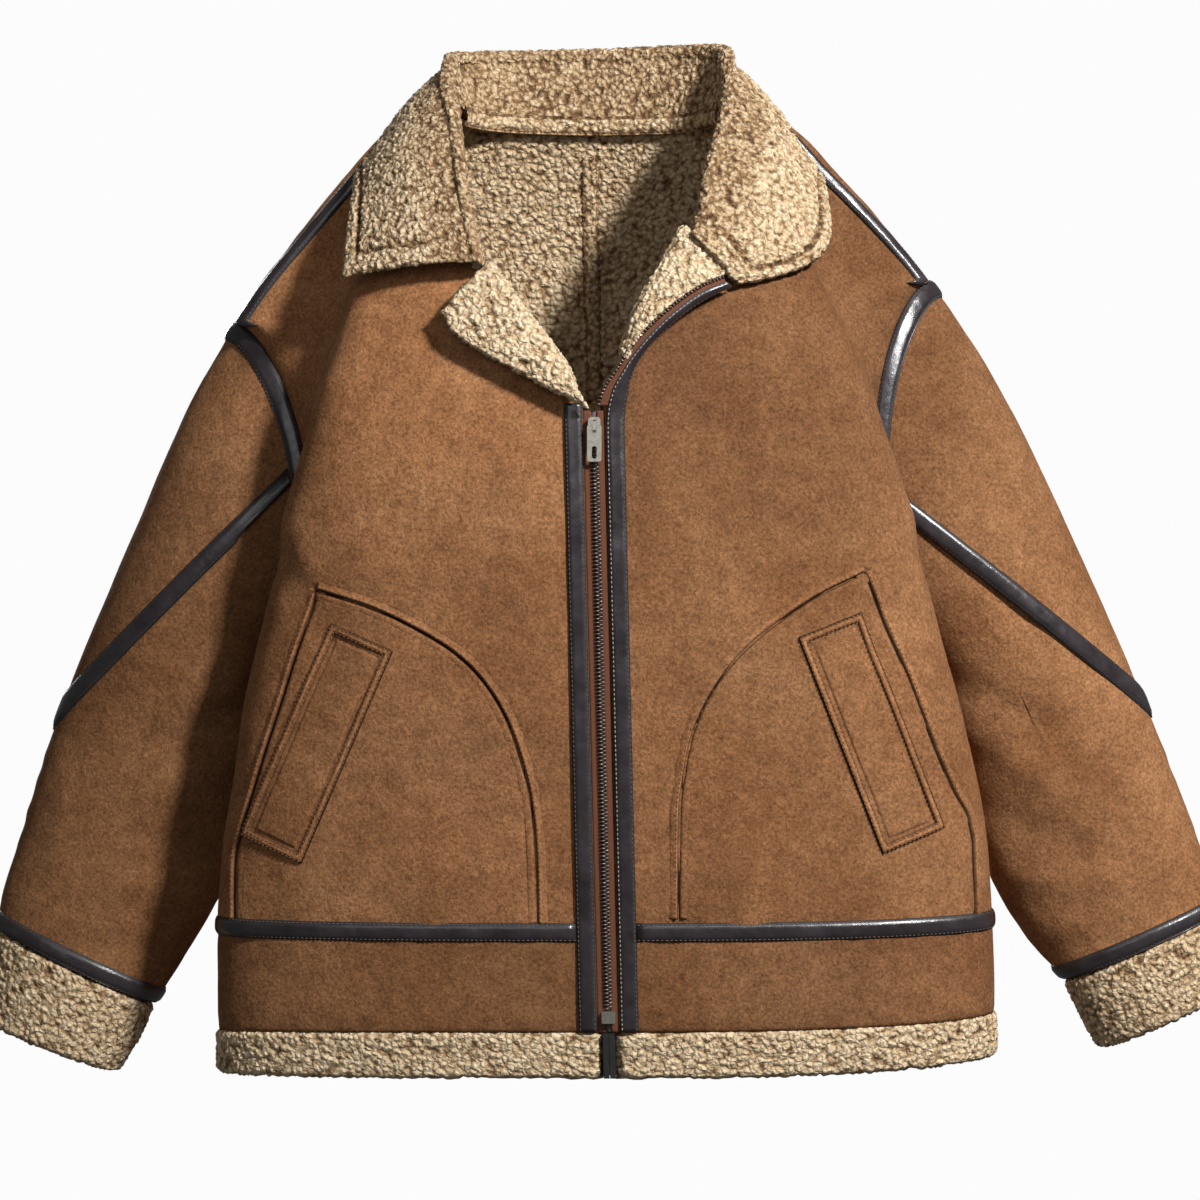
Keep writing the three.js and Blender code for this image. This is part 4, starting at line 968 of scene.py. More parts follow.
def front(side):
    name = NAMES[side]
    heights = np.concatenate([spread(FRONT_LOW, -340, 270, 2.5), spread(-337, BODY_TOP, 345, 3.0)])
    points = front_points(side, spread(0, 1, HALF_ROUND, 2.7), heights)
    outline = rounded_outline(POCKET_PANELS[side])
    far = line_distance(points[..., 0], points[..., 2], outline)
    folds = creases(points, BODY_CREASES) - 1.6 * smooth((4.6 - far) / 2.5)
    relief = relief_of(points, 10 + side, "rbt", folds)
    shade = shade_of(points, 20 + side, "rbt") * painted_light(FRONT_PAINTED_LIGHT[side], points)
    panel(f"front_{name}_suede", points, relief, [f"front_{name}", f"pocket_panel_{name}"], shade=shade)
    pocket_seam(side, outline)


# Painted light and shade on the suede skins: how light each is drawn at its top and at its bottom, as the
# light falls on it; the waist band is alike all over
FRONT_PAINTED_LIGHT = {RIGHT: (1.0, 0.78), LEFT: (0.50, 0.75)}
SLEEVE_PAINTED_LIGHT = {RIGHT: (0.75, 0.64), LEFT: (0.53, 0.77)}
WAIST_PAINTED_SHADE = {RIGHT: 0.61, LEFT: 0.62}
PAINTED_LIGHT_START = -150
PAINTED_LIGHT_LONG = 280


def painted_light(ends, points):
    """A skin's painted light, which changes from the top's to the bottom's below the chest."""
    return mix(*ends, smooth((PAINTED_LIGHT_START - points[..., 2]) / PAINTED_LIGHT_LONG))


# The seam round a pocket panel: distance inside it, height, and shade, which is painted shade in its fold and
# a painted highlight on its rounded edge
SEAM_PROFILE = rows(["inside", "height", "shade"], [
    [-7.5, -0.4, 0.93],
    [-5.5, 0.12, 0.93],
    [-3.5, 0.22, 0.92],
    [-2.0, 0.1, 0.88],
    [-1.3, -0.7, 0.55],
    [-0.6, -1.6, 0.1],
    [0.3, -1.5, 0.1],
    [0.9, 0.3, 0.6],
    [1.4, 1.1, 1.15],
    [2.2, 1.3, 1.25],
    [3.8, 0.75, 1.03],
    [5.5, 0.2, 0.93],
    [7.5, -0.4, 0.93],
])


def pocket_seam(side, outline):
    """A narrow ribbon over the panel's seam, finer than the panel: a fold in painted shade, with a rounded
    edge that has a painted highlight.
    """
    corner = int(np.argmax(outline[:, 1]))
    low = level_at(WAIST_LINE, side, 0.5) + 5
    crest = 9
    for label, part in (("arc", outline[:corner + 1]), ("side", outline[corner:])):
        fine = resampled(np.concatenate([part, np.zeros((len(part), 1))], axis=1), 1.6 * QUICK)[:, :2]
        fine = eased(fine, 4)
        fine = fine[fine[:, 1] > low]
        along = unit(np.gradient(fine, axis=0))
        aside = np.stack([along[:, 1], -along[:, 0]], axis=-1) * -side
        distance = SEAM_PROFILE["inside"][:, None, None]
        flat = fine[None] + aside[None] * distance
        x, z = flat[..., 0], flat[..., 1]
        q = across(side, z, x)
        points = body_point(side, FRONT, q, z)
        n = body_normal(side, q, z)
        own = uneven(points, 10 + side) * smooth((z - WAIST_LINE["right"]) / PULL_REACH) + REST
        own = own + creases(points, BODY_CREASES)
        wave = 1 + 0.25 * cloud(points, 25, 90 + side)
        height = SEAM_PROFILE["height"][:, None] * wave
        ends = np.minimum(np.arange(len(fine)), 4)[None] / 4 if label == "side" else 1
        relief = own + np.where(height > 0, height * ends, height)
        shade = SUEDE_REST * (SEAM_PROFILE["shade"][:, None] + 0.05 * cloud(points, 60, 25 + side))
        panel(f"pocket_seam_{label}_{NAMES[side]}", points, relief, turned=0.6, n=n,
              shade=shade * painted_light(FRONT_PAINTED_LIGHT[side], points))
        body_lines.append((points[crest] + n[crest] * (relief[crest][:, None] + 0.05), n[crest]))


def line_on_front(side, line, lift):
    """A line of stitches on the front's skin, from the corners that it has when seen from the front."""
    fine = []
    for a, b in zip(line[:-1], line[1:]):
        count = max(2, int(np.linalg.norm(b - a) / 2.5))
        fine.extend(mix(a, b, k) for k in np.linspace(0, 1, count, endpoint=False))
    x, z = np.array(fine).T
    q = across(side, z, x)
    points = body_point(side, FRONT, q, z)
    n = body_normal(side, q, z)
    return points + n * (lift + creases(points, BODY_CREASES))[:, None], n


def body_normal(side, q, z, face=FRONT):
    q = np.clip(q, Q_STEP, 1 - Q_STEP)
    a = body_point(side, face, q + Q_STEP, z) - body_point(side, face, q - Q_STEP, z)
    b = body_point(side, face, q, z + Z_STEP) - body_point(side, face, q, z - Z_STEP)
    return unit(np.cross(a, b)) * (-face * side)


def back(side):
    name = NAMES[side]
    q, z = np.meshgrid(spread(0.0, PANEL_END, HALF_ROUND, 3.6), spread(BACK_LOW, BODY_TOP, BODY_LONG, 3.6))
    low = level_at(WAIST_LINE, side, q) + SEAM / 2
    z = z + (low - BACK_LOW) * (1 - smooth((z - BACK_LOW) / LEVEL_REACH))
    points = body_point(side, BACK, q, back_height(z, q))
    panel(f"back_{name}_suede", points, relief_of(points, 30 + side), [f"back_{name}"],
          shade=shade_of(points, 40 + side))


def band_points(side, face, low, high, columns, lines, start=0.0):
    """A band between two lines round the body, from a distance beside the zip to the side seam."""
    a, b = np.meshgrid(columns, lines)
    z = mix(low["middle"], high["middle"], b)
    first = across(side, z, zip_x(z) + side * start) if face == FRONT else 0
    q = mix(first, PANEL_END, a)
    z = mix(level_at(low, side, q), level_at(high, side, q), b)
    return body_point(side, face, q, z)


def joined_back(low, high, columns, lines):
    """A band right across the back, from one side seam to the other."""
    right = band_points(RIGHT, BACK, low, high, columns, lines)
    left = band_points(LEFT, BACK, low, high, columns, lines)
    return np.concatenate([right[:, ::-1], left[:, 1:]], axis=1)


def moved(line, by):
    return {key: value + by for key, value in line.items()}


def waist():
    low, high = moved(HEM_SEAM, SEAM), moved(WAIST_LINE, -SEAM / 2)
    lines = spread(0, 1, 72, 2.6)
    for side, name in NAMES.items():
        points = band_points(side, FRONT, low, high, spread(0, 1, HALF_ROUND, 3.0), lines, ZIP_EDGE)
        relief = relief_of(points, 50 + side, "rbt")
        # Painted shade: the waist band drawn darker all over, low down where less light reaches.
        shade = WAIST_PAINTED_SHADE[side] * shade_of(points, 52 + side, "rbt")
        panel(f"waist_front_{name}_suede", points, relief, [f"waist_front_{name}"], shade=shade)
    points = joined_back(low, high, spread(0, 1, HALF_ROUND, 4.0), lines)
    panel("waist_back_suede", points, relief_of(points, 56), ["waist_back"], shade=shade_of(points, 58))


def sleeve_heart(side, t):
    """The sleeve's own middle line."""
    return (sleeve_point(side, np.zeros_like(t), t) + sleeve_point(side, np.full_like(t, 180), t)) / 2


def sleeve_panel(node, side, points, relief, shade):
    heart = sleeve_heart(side, np.linspace(0, SLEEVE_ROWS, points.shape[0]))
    panel(f"{node}_suede", points, relief, [node], facing(points, heart[:, None, :]),
          shade=shade * painted_light(SLEEVE_PAINTED_LIGHT[side], points))


def sleeves():
    for side, name in NAMES.items():
        for face, label, spacing in ((FRONT, "front", 2.8), (BACK, "back", 4.7)):
            turns = spread(0.5, 179.5, SLEEVE_HALF_ROUND, spacing)
            start = np.maximum(slant_at(side, turns, 0.2), at_armhole(side, turns, 0.6))
            t = mix(start[None, :], SLEEVE_ROWS, spread(0, 1, SLEEVE_LONG, spacing)[:, None])
            points = sleeve_point(side, (turns if face == FRONT else 360 - turns)[None, :], t)
            folds = creases(points, SLEEVE_CREASES[side]) if face == FRONT else 0
            relief = relief_of(points, 60 + side + face * 3, folds=folds)
            shade = shade_of(points, 64 + side)
            sleeve_panel(f"sleeve_{label}_{name}", side, points, relief, shade)
        cap(side, name)


def at_armhole(side, turns, distance):
    return down_sleeve(side, turns, np.zeros_like(turns), distance)


def slant_turn(side, distance=0.0, clear=0.0):
    """The first turn, counted from the outside, at which the slanted seam reaches the armhole."""
    turns = np.arange(30, 160, 0.5)
    return turns[slant_at(side, turns, distance) <= at_armhole(side, turns, clear)][0]


def cap(side, name):
    end = slant_turn(side) + 1.5
    turns = spread(-end, end, SLEEVE_HALF_ROUND, 2.8)
    top = at_armhole(side, turns, 0.6)
    low = np.maximum(slant_at(side, turns, -0.2), top + 0.02)
    t = mix(top[None, :], low[None, :], spread(0, 1, 240, 3.2)[:, None])
    points = sleeve_point(side, turns[None, :], t)
    sleeve_panel(f"sleeve_cap_{name}", side, points, relief_of(points, 70 + side, "bt"),
                 shade_of(points, 72 + side, "bt"))


# Pile: its curls' size and depth, its wide lumps, how deep a groove is and how much painted shade darkens it,
# and how far rims stand out
CURL = 4.6
CURL_DEPTH = 2.6
LUMP = 26
LUMP_HIGH = 0.45
GROOVE_DEPTH = 2.8
GROOVE_PAINTED_SHADE = 0.75
RIM_LUMPS = 3.4


def pile(points, lift, seed, size=CURL, depth=CURL_DEPTH, grooves=None):
    """How far the pile's surface stands out, and its painted shade: lighter on curls, darker in crevices and
    grooves.
    """
    height = 0.75 * curls(points, size, seed) + 0.25 * curls(points, size * 0.6, seed + 7)
    lump = cloud(points, LUMP, seed + 11)
    out = lift - depth + (depth + 0.5) * height + lump * LUMP_HIGH
    # Painted shade: darker in the crevices between curls, lighter on their tops.
    shade = np.clip(0.2 + 0.95 * height, 0, 1)
    if grooves is not None:
        out = out - GROOVE_DEPTH * grooves
        shade = shade * (1 - GROOVE_PAINTED_SHADE * grooves)
    return out, shade


def rim_way(centre, ring):
    """The way out of a wall at its free edges, in its own surface."""
    way = np.zeros_like(centre)
    way[0] += unit(centre[0] - centre[1])
    way[-1] += unit(centre[-1] - centre[-2])
    if not ring:
        way[:, 0] += unit(centre[:, 0] - centre[:, 1])
        way[:, -1] += unit(centre[:, -1] - centre[:, -2])
    return way


def pile_wall(node, centre, half, n, seed, grooves=None, ring=False, edges="lrbt",
              light=1.0):
    """A closed wall of pile round a middle surface, with rounded free edges."""
    lines, columns = centre.shape[:2]
    away = edge_distance(centre, edges)
    round_off = np.sqrt(np.clip(1 - (1 - np.minimum(away / half, 1)) ** 2, 0, 1))
    top_out, top_shade = pile(centre + n * half, half, seed, grooves=grooves)
    low_out, low_shade = pile(centre - n * half, half, seed + 50)
    rim = (1 - round_off)[..., None] * rim_way(centre, ring) * (RIM_LUMPS * (top_shade - 0.5))[..., None]
    outer = centre + n * (top_out * round_off)[..., None] + rim
    inner = centre - n * (low_out * round_off)[..., None] + rim
    ids = np.arange(lines * columns).reshape(lines, columns)
    edge = np.zeros((lines, columns), bool)
    edge[0] = edge[-1] = True
    if not ring:
        edge[:, 0] = edge[:, -1] = True
    other = np.where(edge, ids, ids + lines * columns)
    faces = quads_of(lines, columns, ring)
    faces = np.concatenate([faces, other.ravel()[faces][:, ::-1]])
    used = np.unique(faces)
    renumber = np.zeros(2 * lines * columns, int)
    renumber[used] = np.arange(len(used))
    points = np.concatenate([outer.reshape(-1, 3), inner.reshape(-1, 3)])[used]
    # light scales the painted shade: above one it is painted light, as on the lapels and the hem's front.
    shade = light * np.concatenate([top_shade.ravel(), low_shade.ravel()])[used]
    piece = make(f"{node}_pile", points, [renumber[faces]], SHERPA, replaces=[node], shade=shade)


def stand_off(points):
    """How far each point stands off the body at its own height, and the normal there."""
    z = np.clip(points[:, 2], BODY["z"][0], BODY["z"][-1])
    normal, off = np.zeros_like(points), np.zeros(len(points))
    q = np.linspace(0, 1, 121)
    for i, (x, y) in enumerate(points[:, :2]):
        side = RIGHT if x < middle_x(z[i]) else LEFT
        nearest = FAR_AWAY
        for tried in (FRONT, BACK):
            places = body_point(side, tried, q, z[i])
            far = np.hypot(places[:, 0] - x, places[:, 1] - y)
            j = int(np.argmin(far))
            if far[j] < nearest:
                nearest, face, near_q, place = far[j], tried, q[j], places[j]
        normal[i] = body_normal(side, np.clip(near_q, 0.01, 0.99), z[i], face)
        off[i] = np.dot(np.array([x, y, z[i]]) - place, normal[i])
    return normal, off


def folded(section, stations, thick_half, clear):
    """The middle surface of a folded wall: up from its seam, round its fold and out to its free edge."""
    u = np.linspace(0, 1, stations)
    seam, fold, edge, out, arch = section(u)
    down = unit(edge - fold)
    length = np.linalg.norm(edge - fold, axis=-1, keepdims=True)
    roll = np.clip(0.4 * length, thick_half + 0.2, ROLL)
    heart = fold + down * roll
    inside = heart - out * roll
    columns = [mix(seam, inside, k) for k in (0, 0.25, 0.5, 0.75)]
    for angle in np.linspace(0, math.pi, 9)[:-1]:
        columns.append(heart - out * roll * math.cos(angle) - down * roll * math.sin(angle))
    top = heart + out * roll
    for along in np.linspace(0, 1, 13):
        bulge = arch[:, None] * math.sin(math.pi * along) * (1 - 0.3 * along)
        point = mix(top, edge, along) + out * bulge
        normal, off = stand_off(point)
        needed = (clear + thick_half) * smooth(along * 3)
        columns.append(eased(point + normal * np.maximum(needed - off, 0)[:, None], 3))
    return np.stack(columns, axis=0)


def eased(line, times):
    """A line with its small kinks smoothed out and its ends kept."""
    line = line.copy()
    for _ in range(times):
        line[1:-1] = (line[:-2] + 2 * line[1:-1] + line[2:]) / 4
    return line


def dense(coarse, lines, columns):
    """A finer grid through a coarse one, by the same smooth curves as the tables."""
    for count, axis in ((lines, 0), (columns, 1)):
        grid = np.moveaxis(coarse, axis, 0)
        step = np.linalg.norm(np.diff(grid, axis=0), axis=-1)
        gone = np.concatenate([[0], np.cumsum(step.mean(axis=1))])
        at = np.linspace(0, gone[-1], count)
        slopes = np.gradient(grid, gone, axis=0)
        i = np.clip(np.searchsorted(gone, at, side="right") - 1, 0, len(gone) - 2)
        wide = (gone[i + 1] - gone[i])[:, None, None]
        k = ((at - gone[i])[:, None, None]) / wide
        coarse = np.moveaxis(cubic(k, wide, grid[i], grid[i + 1], slopes[i], slopes[i + 1]), 0, axis)
    return coarse


# The collar's grooves, darkened with painted shade: how far in from its edge and its ends, how wide, and how
# sunk and shaded its hidden stand is
EDGE_GROOVE = 11
END_GROOVE = 18
GROOVE_HALF = 2.1
STAND_SUNK_AND_SHADE = 0.42


def collar():
    last = len(COLLAR["arch"]) - 1

    def at(u, part):
        return stack(*(read(COLLAR, part + axis, np.clip(u, 0, 1) * last) for axis in "XYZ"))

    def section(u):
        low = np.clip(u, 0.01, 0.99) - 0.01
        along = at(low + 0.02, "fold") - at(low, "fold")
        fold, edge = at(u, "fold"), at(u, "edge")
        return at(u, "seam"), fold, edge, unit(np.cross(along, edge - fold)), read(COLLAR, "arch", u * last)

    coarse = folded(section, 2 * last + 1, COLLAR_HALF, 2.8)
    centre = dense(coarse, int(118 / QUICK), int(415 / QUICK))
    n = normals(centre)
    if n[-8, n.shape[1] // 2, 1] < 0:
        n = -n
    over, down = real_lengths(centre)
    from_edge = down[-1:] - down
    from_end = np.minimum(over, over[:, -1:] - over)
    flat_part = smooth((down - 0.42 * down[-1:]) / 12)
    along_edge = np.exp(-((from_edge - EDGE_GROOVE) / GROOVE_HALF) ** 2) * smooth((from_end - 15) / 3)
    along_ends = np.exp(-((from_end - END_GROOVE) / GROOVE_HALF) ** 2) * smooth((from_edge - 9) / 3)
    grooves = np.maximum(along_edge, along_ends) * flat_part
    # The stand inside the back of the neck is sunk a little and given painted shade, where the front shades
    # it.
    grooves = np.maximum(grooves, STAND_SUNK_AND_SHADE * (1 - smooth((down - 0.4 * down[-1:]) / 14)))
    pile_wall("collar", centre, COLLAR_HALF, n, 100, grooves=grooves)


# How far the left lapel goes on behind the collar, in steps of its own grid
LAPEL_MORE = 1.3


def lapel(side, lines):
    table = LAPELS[side]
    last = len(table["foldZ"]) - 1
    name = NAMES[side]

    def section(u):
        def at(key):
            return read(table, key, np.clip(u, 0, 1) * last)

        fold_z = at("foldZ")
        neck_x = read(NECK, name, fold_z, "z")
        edge_x = np.where(fold_z < NECK["z"][0], zip_x(fold_z) + side * ZIP_EDGE, neck_x)
        q = across(side, fold_z, edge_x)
        root = body_point(side, FRONT, q, fold_z)
        n = body_normal(side, q, fold_z)
        free = body_point(side, FRONT, across(side, at("edgeZ"), at("edgeX")), at("edgeZ"))
        edge = free + n * at("lift")[:, None]
        down = edge - root
        down = unit(down - n * np.sum(down * n, axis=-1, keepdims=True))
        seam = root - n * CLOTH / 2 - down * (SEAM + 0.5)
        roll = np.clip(0.4 * np.linalg.norm(edge - root, axis=-1, keepdims=True), LAPEL_HALF + 0.2, ROLL)
        return seam, seam + n * roll - down * roll, edge, n, np.full(len(u), 3.0)

    coarse = folded(section, 4 * last + 1, LAPEL_HALF, 0.5)
    if side == LEFT:
        behind_collar = (1 + LAPEL_MORE) * coarse[:, -1:] - LAPEL_MORE * coarse[:, -2:-1]
        coarse = np.concatenate([coarse, behind_collar], axis=1)
    centre = dense(coarse, int(50 / QUICK), int(lines / QUICK))
    n = normals(centre)
    if n[-6, n.shape[1] // 2, 1] > 0:
        n = -n
    # light=1.2: painted light, the lapel drawn lighter than the rest of the pile.
    pile_wall(f"lapel_{name}", centre, LAPEL_HALF + 0.5, n, 120 + side,
              light=1.2)


def cuffs():
    for side, name in NAMES.items():
        turns = np.linspace(0, 360, int(190 / QUICK), endpoint=False)
        points = tube_point(CUFFS, side, turns[None, :], np.linspace(0.01, 2, int(44 / QUICK))[:, None])
        n = ring_normals(points)
        pile_wall(f"cuff_{name}", points - n * PILE_SUNK, SHERPA_THICK / 2, n, 140 + side,
                  ring=True, edges="bt")


def hem():
    top = moved(HEM_SEAM, -SEAM / 2)
    lines = np.linspace(0, 1, int(21 / QUICK) + 2)
    for side, name in NAMES.items():
        points = band_points(side, FRONT, HEM_EDGE, top, spread(0, 1, 340, 1.75), lines, HEM_TAB + 2 * SEAM)
        n = facing(points, body_away(points))
        # light=1.12: painted light, the hem's front drawn lighter than the rest of the pile.
        pile_wall(f"hem_front_{name}", points - n * PILE_SUNK, SHERPA_THICK / 2, n, 160 + side,
                  light=1.12)
    points = joined_back(HEM_EDGE, top, spread(0, 1, HALF_ROUND, 2.2), lines)
    n = facing(points, body_away(points))
    pile_wall("hem_back", points - n * PILE_SUNK, SHERPA_THICK / 2, n, 170)


def lining_sheet(name, points, n, seed, ring=False):
    out, shade = pile(points, 2.1, seed)
    inside = points - n * (CLOTH + 0.1 + np.maximum(out, 0))[..., None]
    faces = [quads_of(*points.shape[:2], ring)]
    piece = make(name, inside.reshape(-1, 3), faces, SHERPA, shade=shade)


def linings():
    """The inside, seen through the neck, hem and cuffs: finer where the open neck shows it."""
    unseen = spread(LINING_LOW, -262, 420, 7)
    heights = np.concatenate([unseen, spread(-259, BODY_TOP, 266, 2.6)])
    q, z = np.meshgrid(spread(0.0, 0.99, 300, 2.7), heights)
    right, left = (body_point(side, BACK, q, back_height(z, q)) for side in NAMES)
    points = np.concatenate([right[:, ::-1], left[:, 1:]], axis=1)
    lining_sheet("lining_back", points, facing(points, body_away(points)), 200)
    heights = np.concatenate([unseen, spread(-259, -1, 263, 4)])
    for side, name in NAMES.items():
        points = front_points(side, spread(0, 0.99, HALF_ROUND, 6), heights, level=False)
        n = facing(points, body_away(points))
        lining_sheet(f"lining_front_{name}", points, n, 210 + side)
        turns = np.linspace(0, 360, int(60 / math.sqrt(QUICK)), endpoint=False)
        t = np.linspace(0.05, SLEEVE_ROWS, int(80 / QUICK))
        points = sleeve_point(side, turns[None, :], t[:, None])
        n = ring_normals(points)
        lining_sheet(f"lining_sleeve_{name}", points, n, 220 + side, ring=True)


def inside_strip(name, node, points, n, lift, seed, furrow, light):
    """A flat strip of short pile over a seam inside."""
    out, shade = pile(points, lift, seed, size=4.2, depth=1.4, grooves=furrow)
    surface = points + n * out[..., None]
    faces = [quads_of(*points.shape[:2])]
    # light below one is painted shade: the strips inside drawn a little darker.
    piece = make(name, surface.reshape(-1, 3), faces, SHERPA, replaces=[node], shade=shade * light)
    return surface


def inside_tapes():
    """The strip down the back's middle seam and the one under the neck seam, each with two stitch lines."""
    z = spread(-560, -22, 538, 2.4)
    xs, zs = np.meshgrid(np.linspace(-7, 7, 9), z)
    points = stack(middle_x(zs) + xs, read(BODY, "back", zs, "z") - CLOTH - 0.4, zs)
    furrow = np.exp(-((np.abs(xs) - 6.4) / 1.5) ** 2)
    n = forward(points)
    inside_strip("back_seam_strip", "back_seam_tape", points, n, 4.0, 230, furrow, 0.9)
    for aside in (-5.2, 5.2):
        line = stack(middle_x(z) + aside, read(BODY, "back", z, "z") - CLOTH - 2.9, z)
        pile_lines.append((line, forward(line)))
    u = spread(2.7, 9.2, 330, 2.0)
    seam = stack(*(read(COLLAR, "seam" + axis, u) for axis in "XYZ"))
    middle = len(u) // 2
    seam[:, 2] = mix(seam[:, 2], seam[middle, 2], 0.8)
    along = unit(np.gradient(seam, axis=0) * np.array([1, 1, 0]))
    inward = np.stack([along[:, 1], -along[:, 0], np.zeros(len(u))], axis=-1)
    inward = inward if inward[middle, 1] < 0 else -inward
    points = seam[None] + inward[None] * 3.0 + np.linspace(-7.5, 7, 9)[:, None, None] * np.array([0, 0, 1.0])
    n = np.broadcast_to(inward[None], points.shape)
    furrow = np.exp(-((np.abs(np.linspace(-7.2, 7.2, 9)) - 6.2) / 1.4) ** 2)[:, None] * np.ones(len(u))
    surface = inside_strip("neck_strip", "neck_tape", points, n, 2.8, 240, furrow, 0.95)
    for row in (1, -2):
        pile_lines.append((surface[row] + n[row] * 0.3, n[row]))


# Trims
def bindings():
    cells = np.linspace(0, 1, STRIP_CELLS + 1)
    low, high = moved(WAIST_LINE, -TRIM_WIDE / 2), moved(WAIST_LINE, TRIM_WIDE / 2)
    for side, name in NAMES.items():
        columns = spread(0, 1, HALF_ROUND, 2.2)
        points = band_points(side, FRONT, low, high, columns, cells, ZIP_EDGE + PLACKET_WIDE + SEAM)
        strip(f"waist_binding_{name}", points, 300 + side)
        turns = np.linspace(0, 360, int(260 / QUICK), endpoint=False)
        ends = (("armhole", 0, -2.5, TRIM_WIDE), ("cuff", SLEEVE_ROWS, -TRIM_WIDE, -0.5))
        for label, section, start, end in ends:
            points = beside_section(side, turns, cells, section, start, end)
            strip(f"{label}_binding_{name}", points, 310 + side, ring_normals(points), ring=True)
        slanted(side, name, cells)
        shoulder(side, name, cells)
    points = joined_back(low, high, spread(0, 1, HALF_ROUND, 3.0), cells)
    strip("waist_binding_back", points, 340)


def beside_section(side, turns, cells, section, start, end):
    """Lines round the sleeve at real distances from one end of it, which may lie a little past that end."""
    distance = mix(start, end, cells)[:, None]
    inner = np.maximum(distance, 0) if section == 0 else np.minimum(distance, 0)
    t = down_sleeve(side, turns[None, :], np.full((1, len(turns)), float(section)), inner)
    step = 0.2 if section == 0 else -0.2
    edge = sleeve_point(side, turns, np.full(len(turns), float(section)))
    along = unit(sleeve_point(side, turns, np.full(len(turns), section + step)) - edge) * np.sign(step)
    return sleeve_point(side, turns[None, :], t) + along[None] * (distance - inner)[..., None]


# The shoulder strip's q at its two ends, and the most that half its width takes of it
SHOULDER_Q = (0.958, 0.90)
SHOULDER_HALF_Q = 0.03
SHOULDER_STEP = 0.02


def shoulder(side, name, cells):
    """From the collar down to the armhole, in front of the shoulder's ridge."""
    z = spread(SLEEVES[side]["outZ"][0] - 2.5, 5, 210, 2.2)
    middle = mix(*SHOULDER_Q, smooth(np.linspace(0, 1, len(z))))
    above, below = (body_point(side, FRONT, middle + step, z) for step in (SHOULDER_STEP, -SHOULDER_STEP))
    half = np.minimum(SHOULDER_HALF_Q, SHOULDER_STEP * TRIM_WIDE / np.linalg.norm(above - below, axis=-1))
    q = middle + (2 * cells[:, None] - 1) * half
    points = body_point(side, FRONT, q, np.broadcast_to(z, q.shape))
    strip(f"shoulder_binding_{name}", points, 330 + side, lift=0.4)


def slanted(side, name, cells):
    """Over the slanted seam, from the armhole in front to the armhole behind."""
    clear = TRIM_WIDE + 1.2
    end = slant_turn(side, TRIM_WIDE / 2 - 1.5, clear) - 1
    turns = spread(-end, end, 420, 2.2)
    distance = mix(-TRIM_WIDE / 2, TRIM_WIDE / 2, cells)
    nearest = at_armhole(side, turns, clear)
    t = slant_at(side, turns[None, :], distance[:, None])
    t = np.maximum(t, nearest[None, :] + 0.01 * cells[:, None])
    points = sleeve_point(side, turns[None, :], t)
    heart = sleeve_heart(side, slant_at(side, turns))
    rise = 1.2 * smooth((np.abs(turns) - 40) / 40)
    strip(f"sleeve_binding_{name}", points, 320 + side, facing(points, heart[None]), lift=0.5 + rise[None, :])


def open_zip_place(u, part, drop, lift):
    """A line up the open part of the zip, where it turns out over the lapel."""
    last = len(OPEN_ZIP["z"]) - 1

    def at(key):
        return read(OPEN_ZIP, key, u * last) if key else np.zeros_like(u)

    z = at("z") - at(drop)
    x = at(part)
    root = body_point(LEFT, FRONT, across(LEFT, z, np.maximum(x, middle_x(z) + 0.5)), z)
    return stack(x, root[..., 1] - at(lift), z)


def placket_line(side, distance, lift, z):
    """A line at a distance beside the closed zip."""
    q = across(side, z, zip_x(z) + side * distance)
    return body_point(side, FRONT, q, z) + body_normal(side, q, z) * lift


def eased_near(line, at, reach=14):
    part = slice(max(0, at - reach), at + reach)
    line[part] = eased(line[part], 40)
    return line


def plackets():
    for side, name in NAMES.items():
        top = -223 if side == RIGHT else ZIP_TOP
        z = spread(HEM_SEAM["middle"] + 2, top, 440, 2.2)
        inner, outer = (placket_line(side, d, 1.2, z) for d in (ZIP_EDGE + 0.2, ZIP_EDGE + PLACKET_WIDE))
        if side == LEFT:
            u = spread(0.02, 1, 170, 2.2)
            inner = np.concatenate([inner, open_zip_place(u, "tapeX", "tapeDrop", "lift")])
            outer = np.concatenate([outer, open_zip_place(u, "bindX", "bindDrop", "bindLift")])
            inner, outer = eased_near(inner, len(z)), eased_near(outer, len(z))
        points = between(inner, outer, STRIP_CELLS + 1)
        n = facing(points, points + np.array([0, 400.0, 0]))
        strip(f"placket_binding_{name}", points, 350 + side, n, rise=1.6, pale_edge=side == LEFT)


def turned_place(spot, u, v):
    """Where a place on a leaning rectangle is, seen from the front."""
    turn = math.radians(spot["lean"])
    x = spot["x"] + u * math.cos(turn) + v * math.sin(turn)
    return x, spot["z"] + v * math.cos(turn) - u * math.sin(turn)


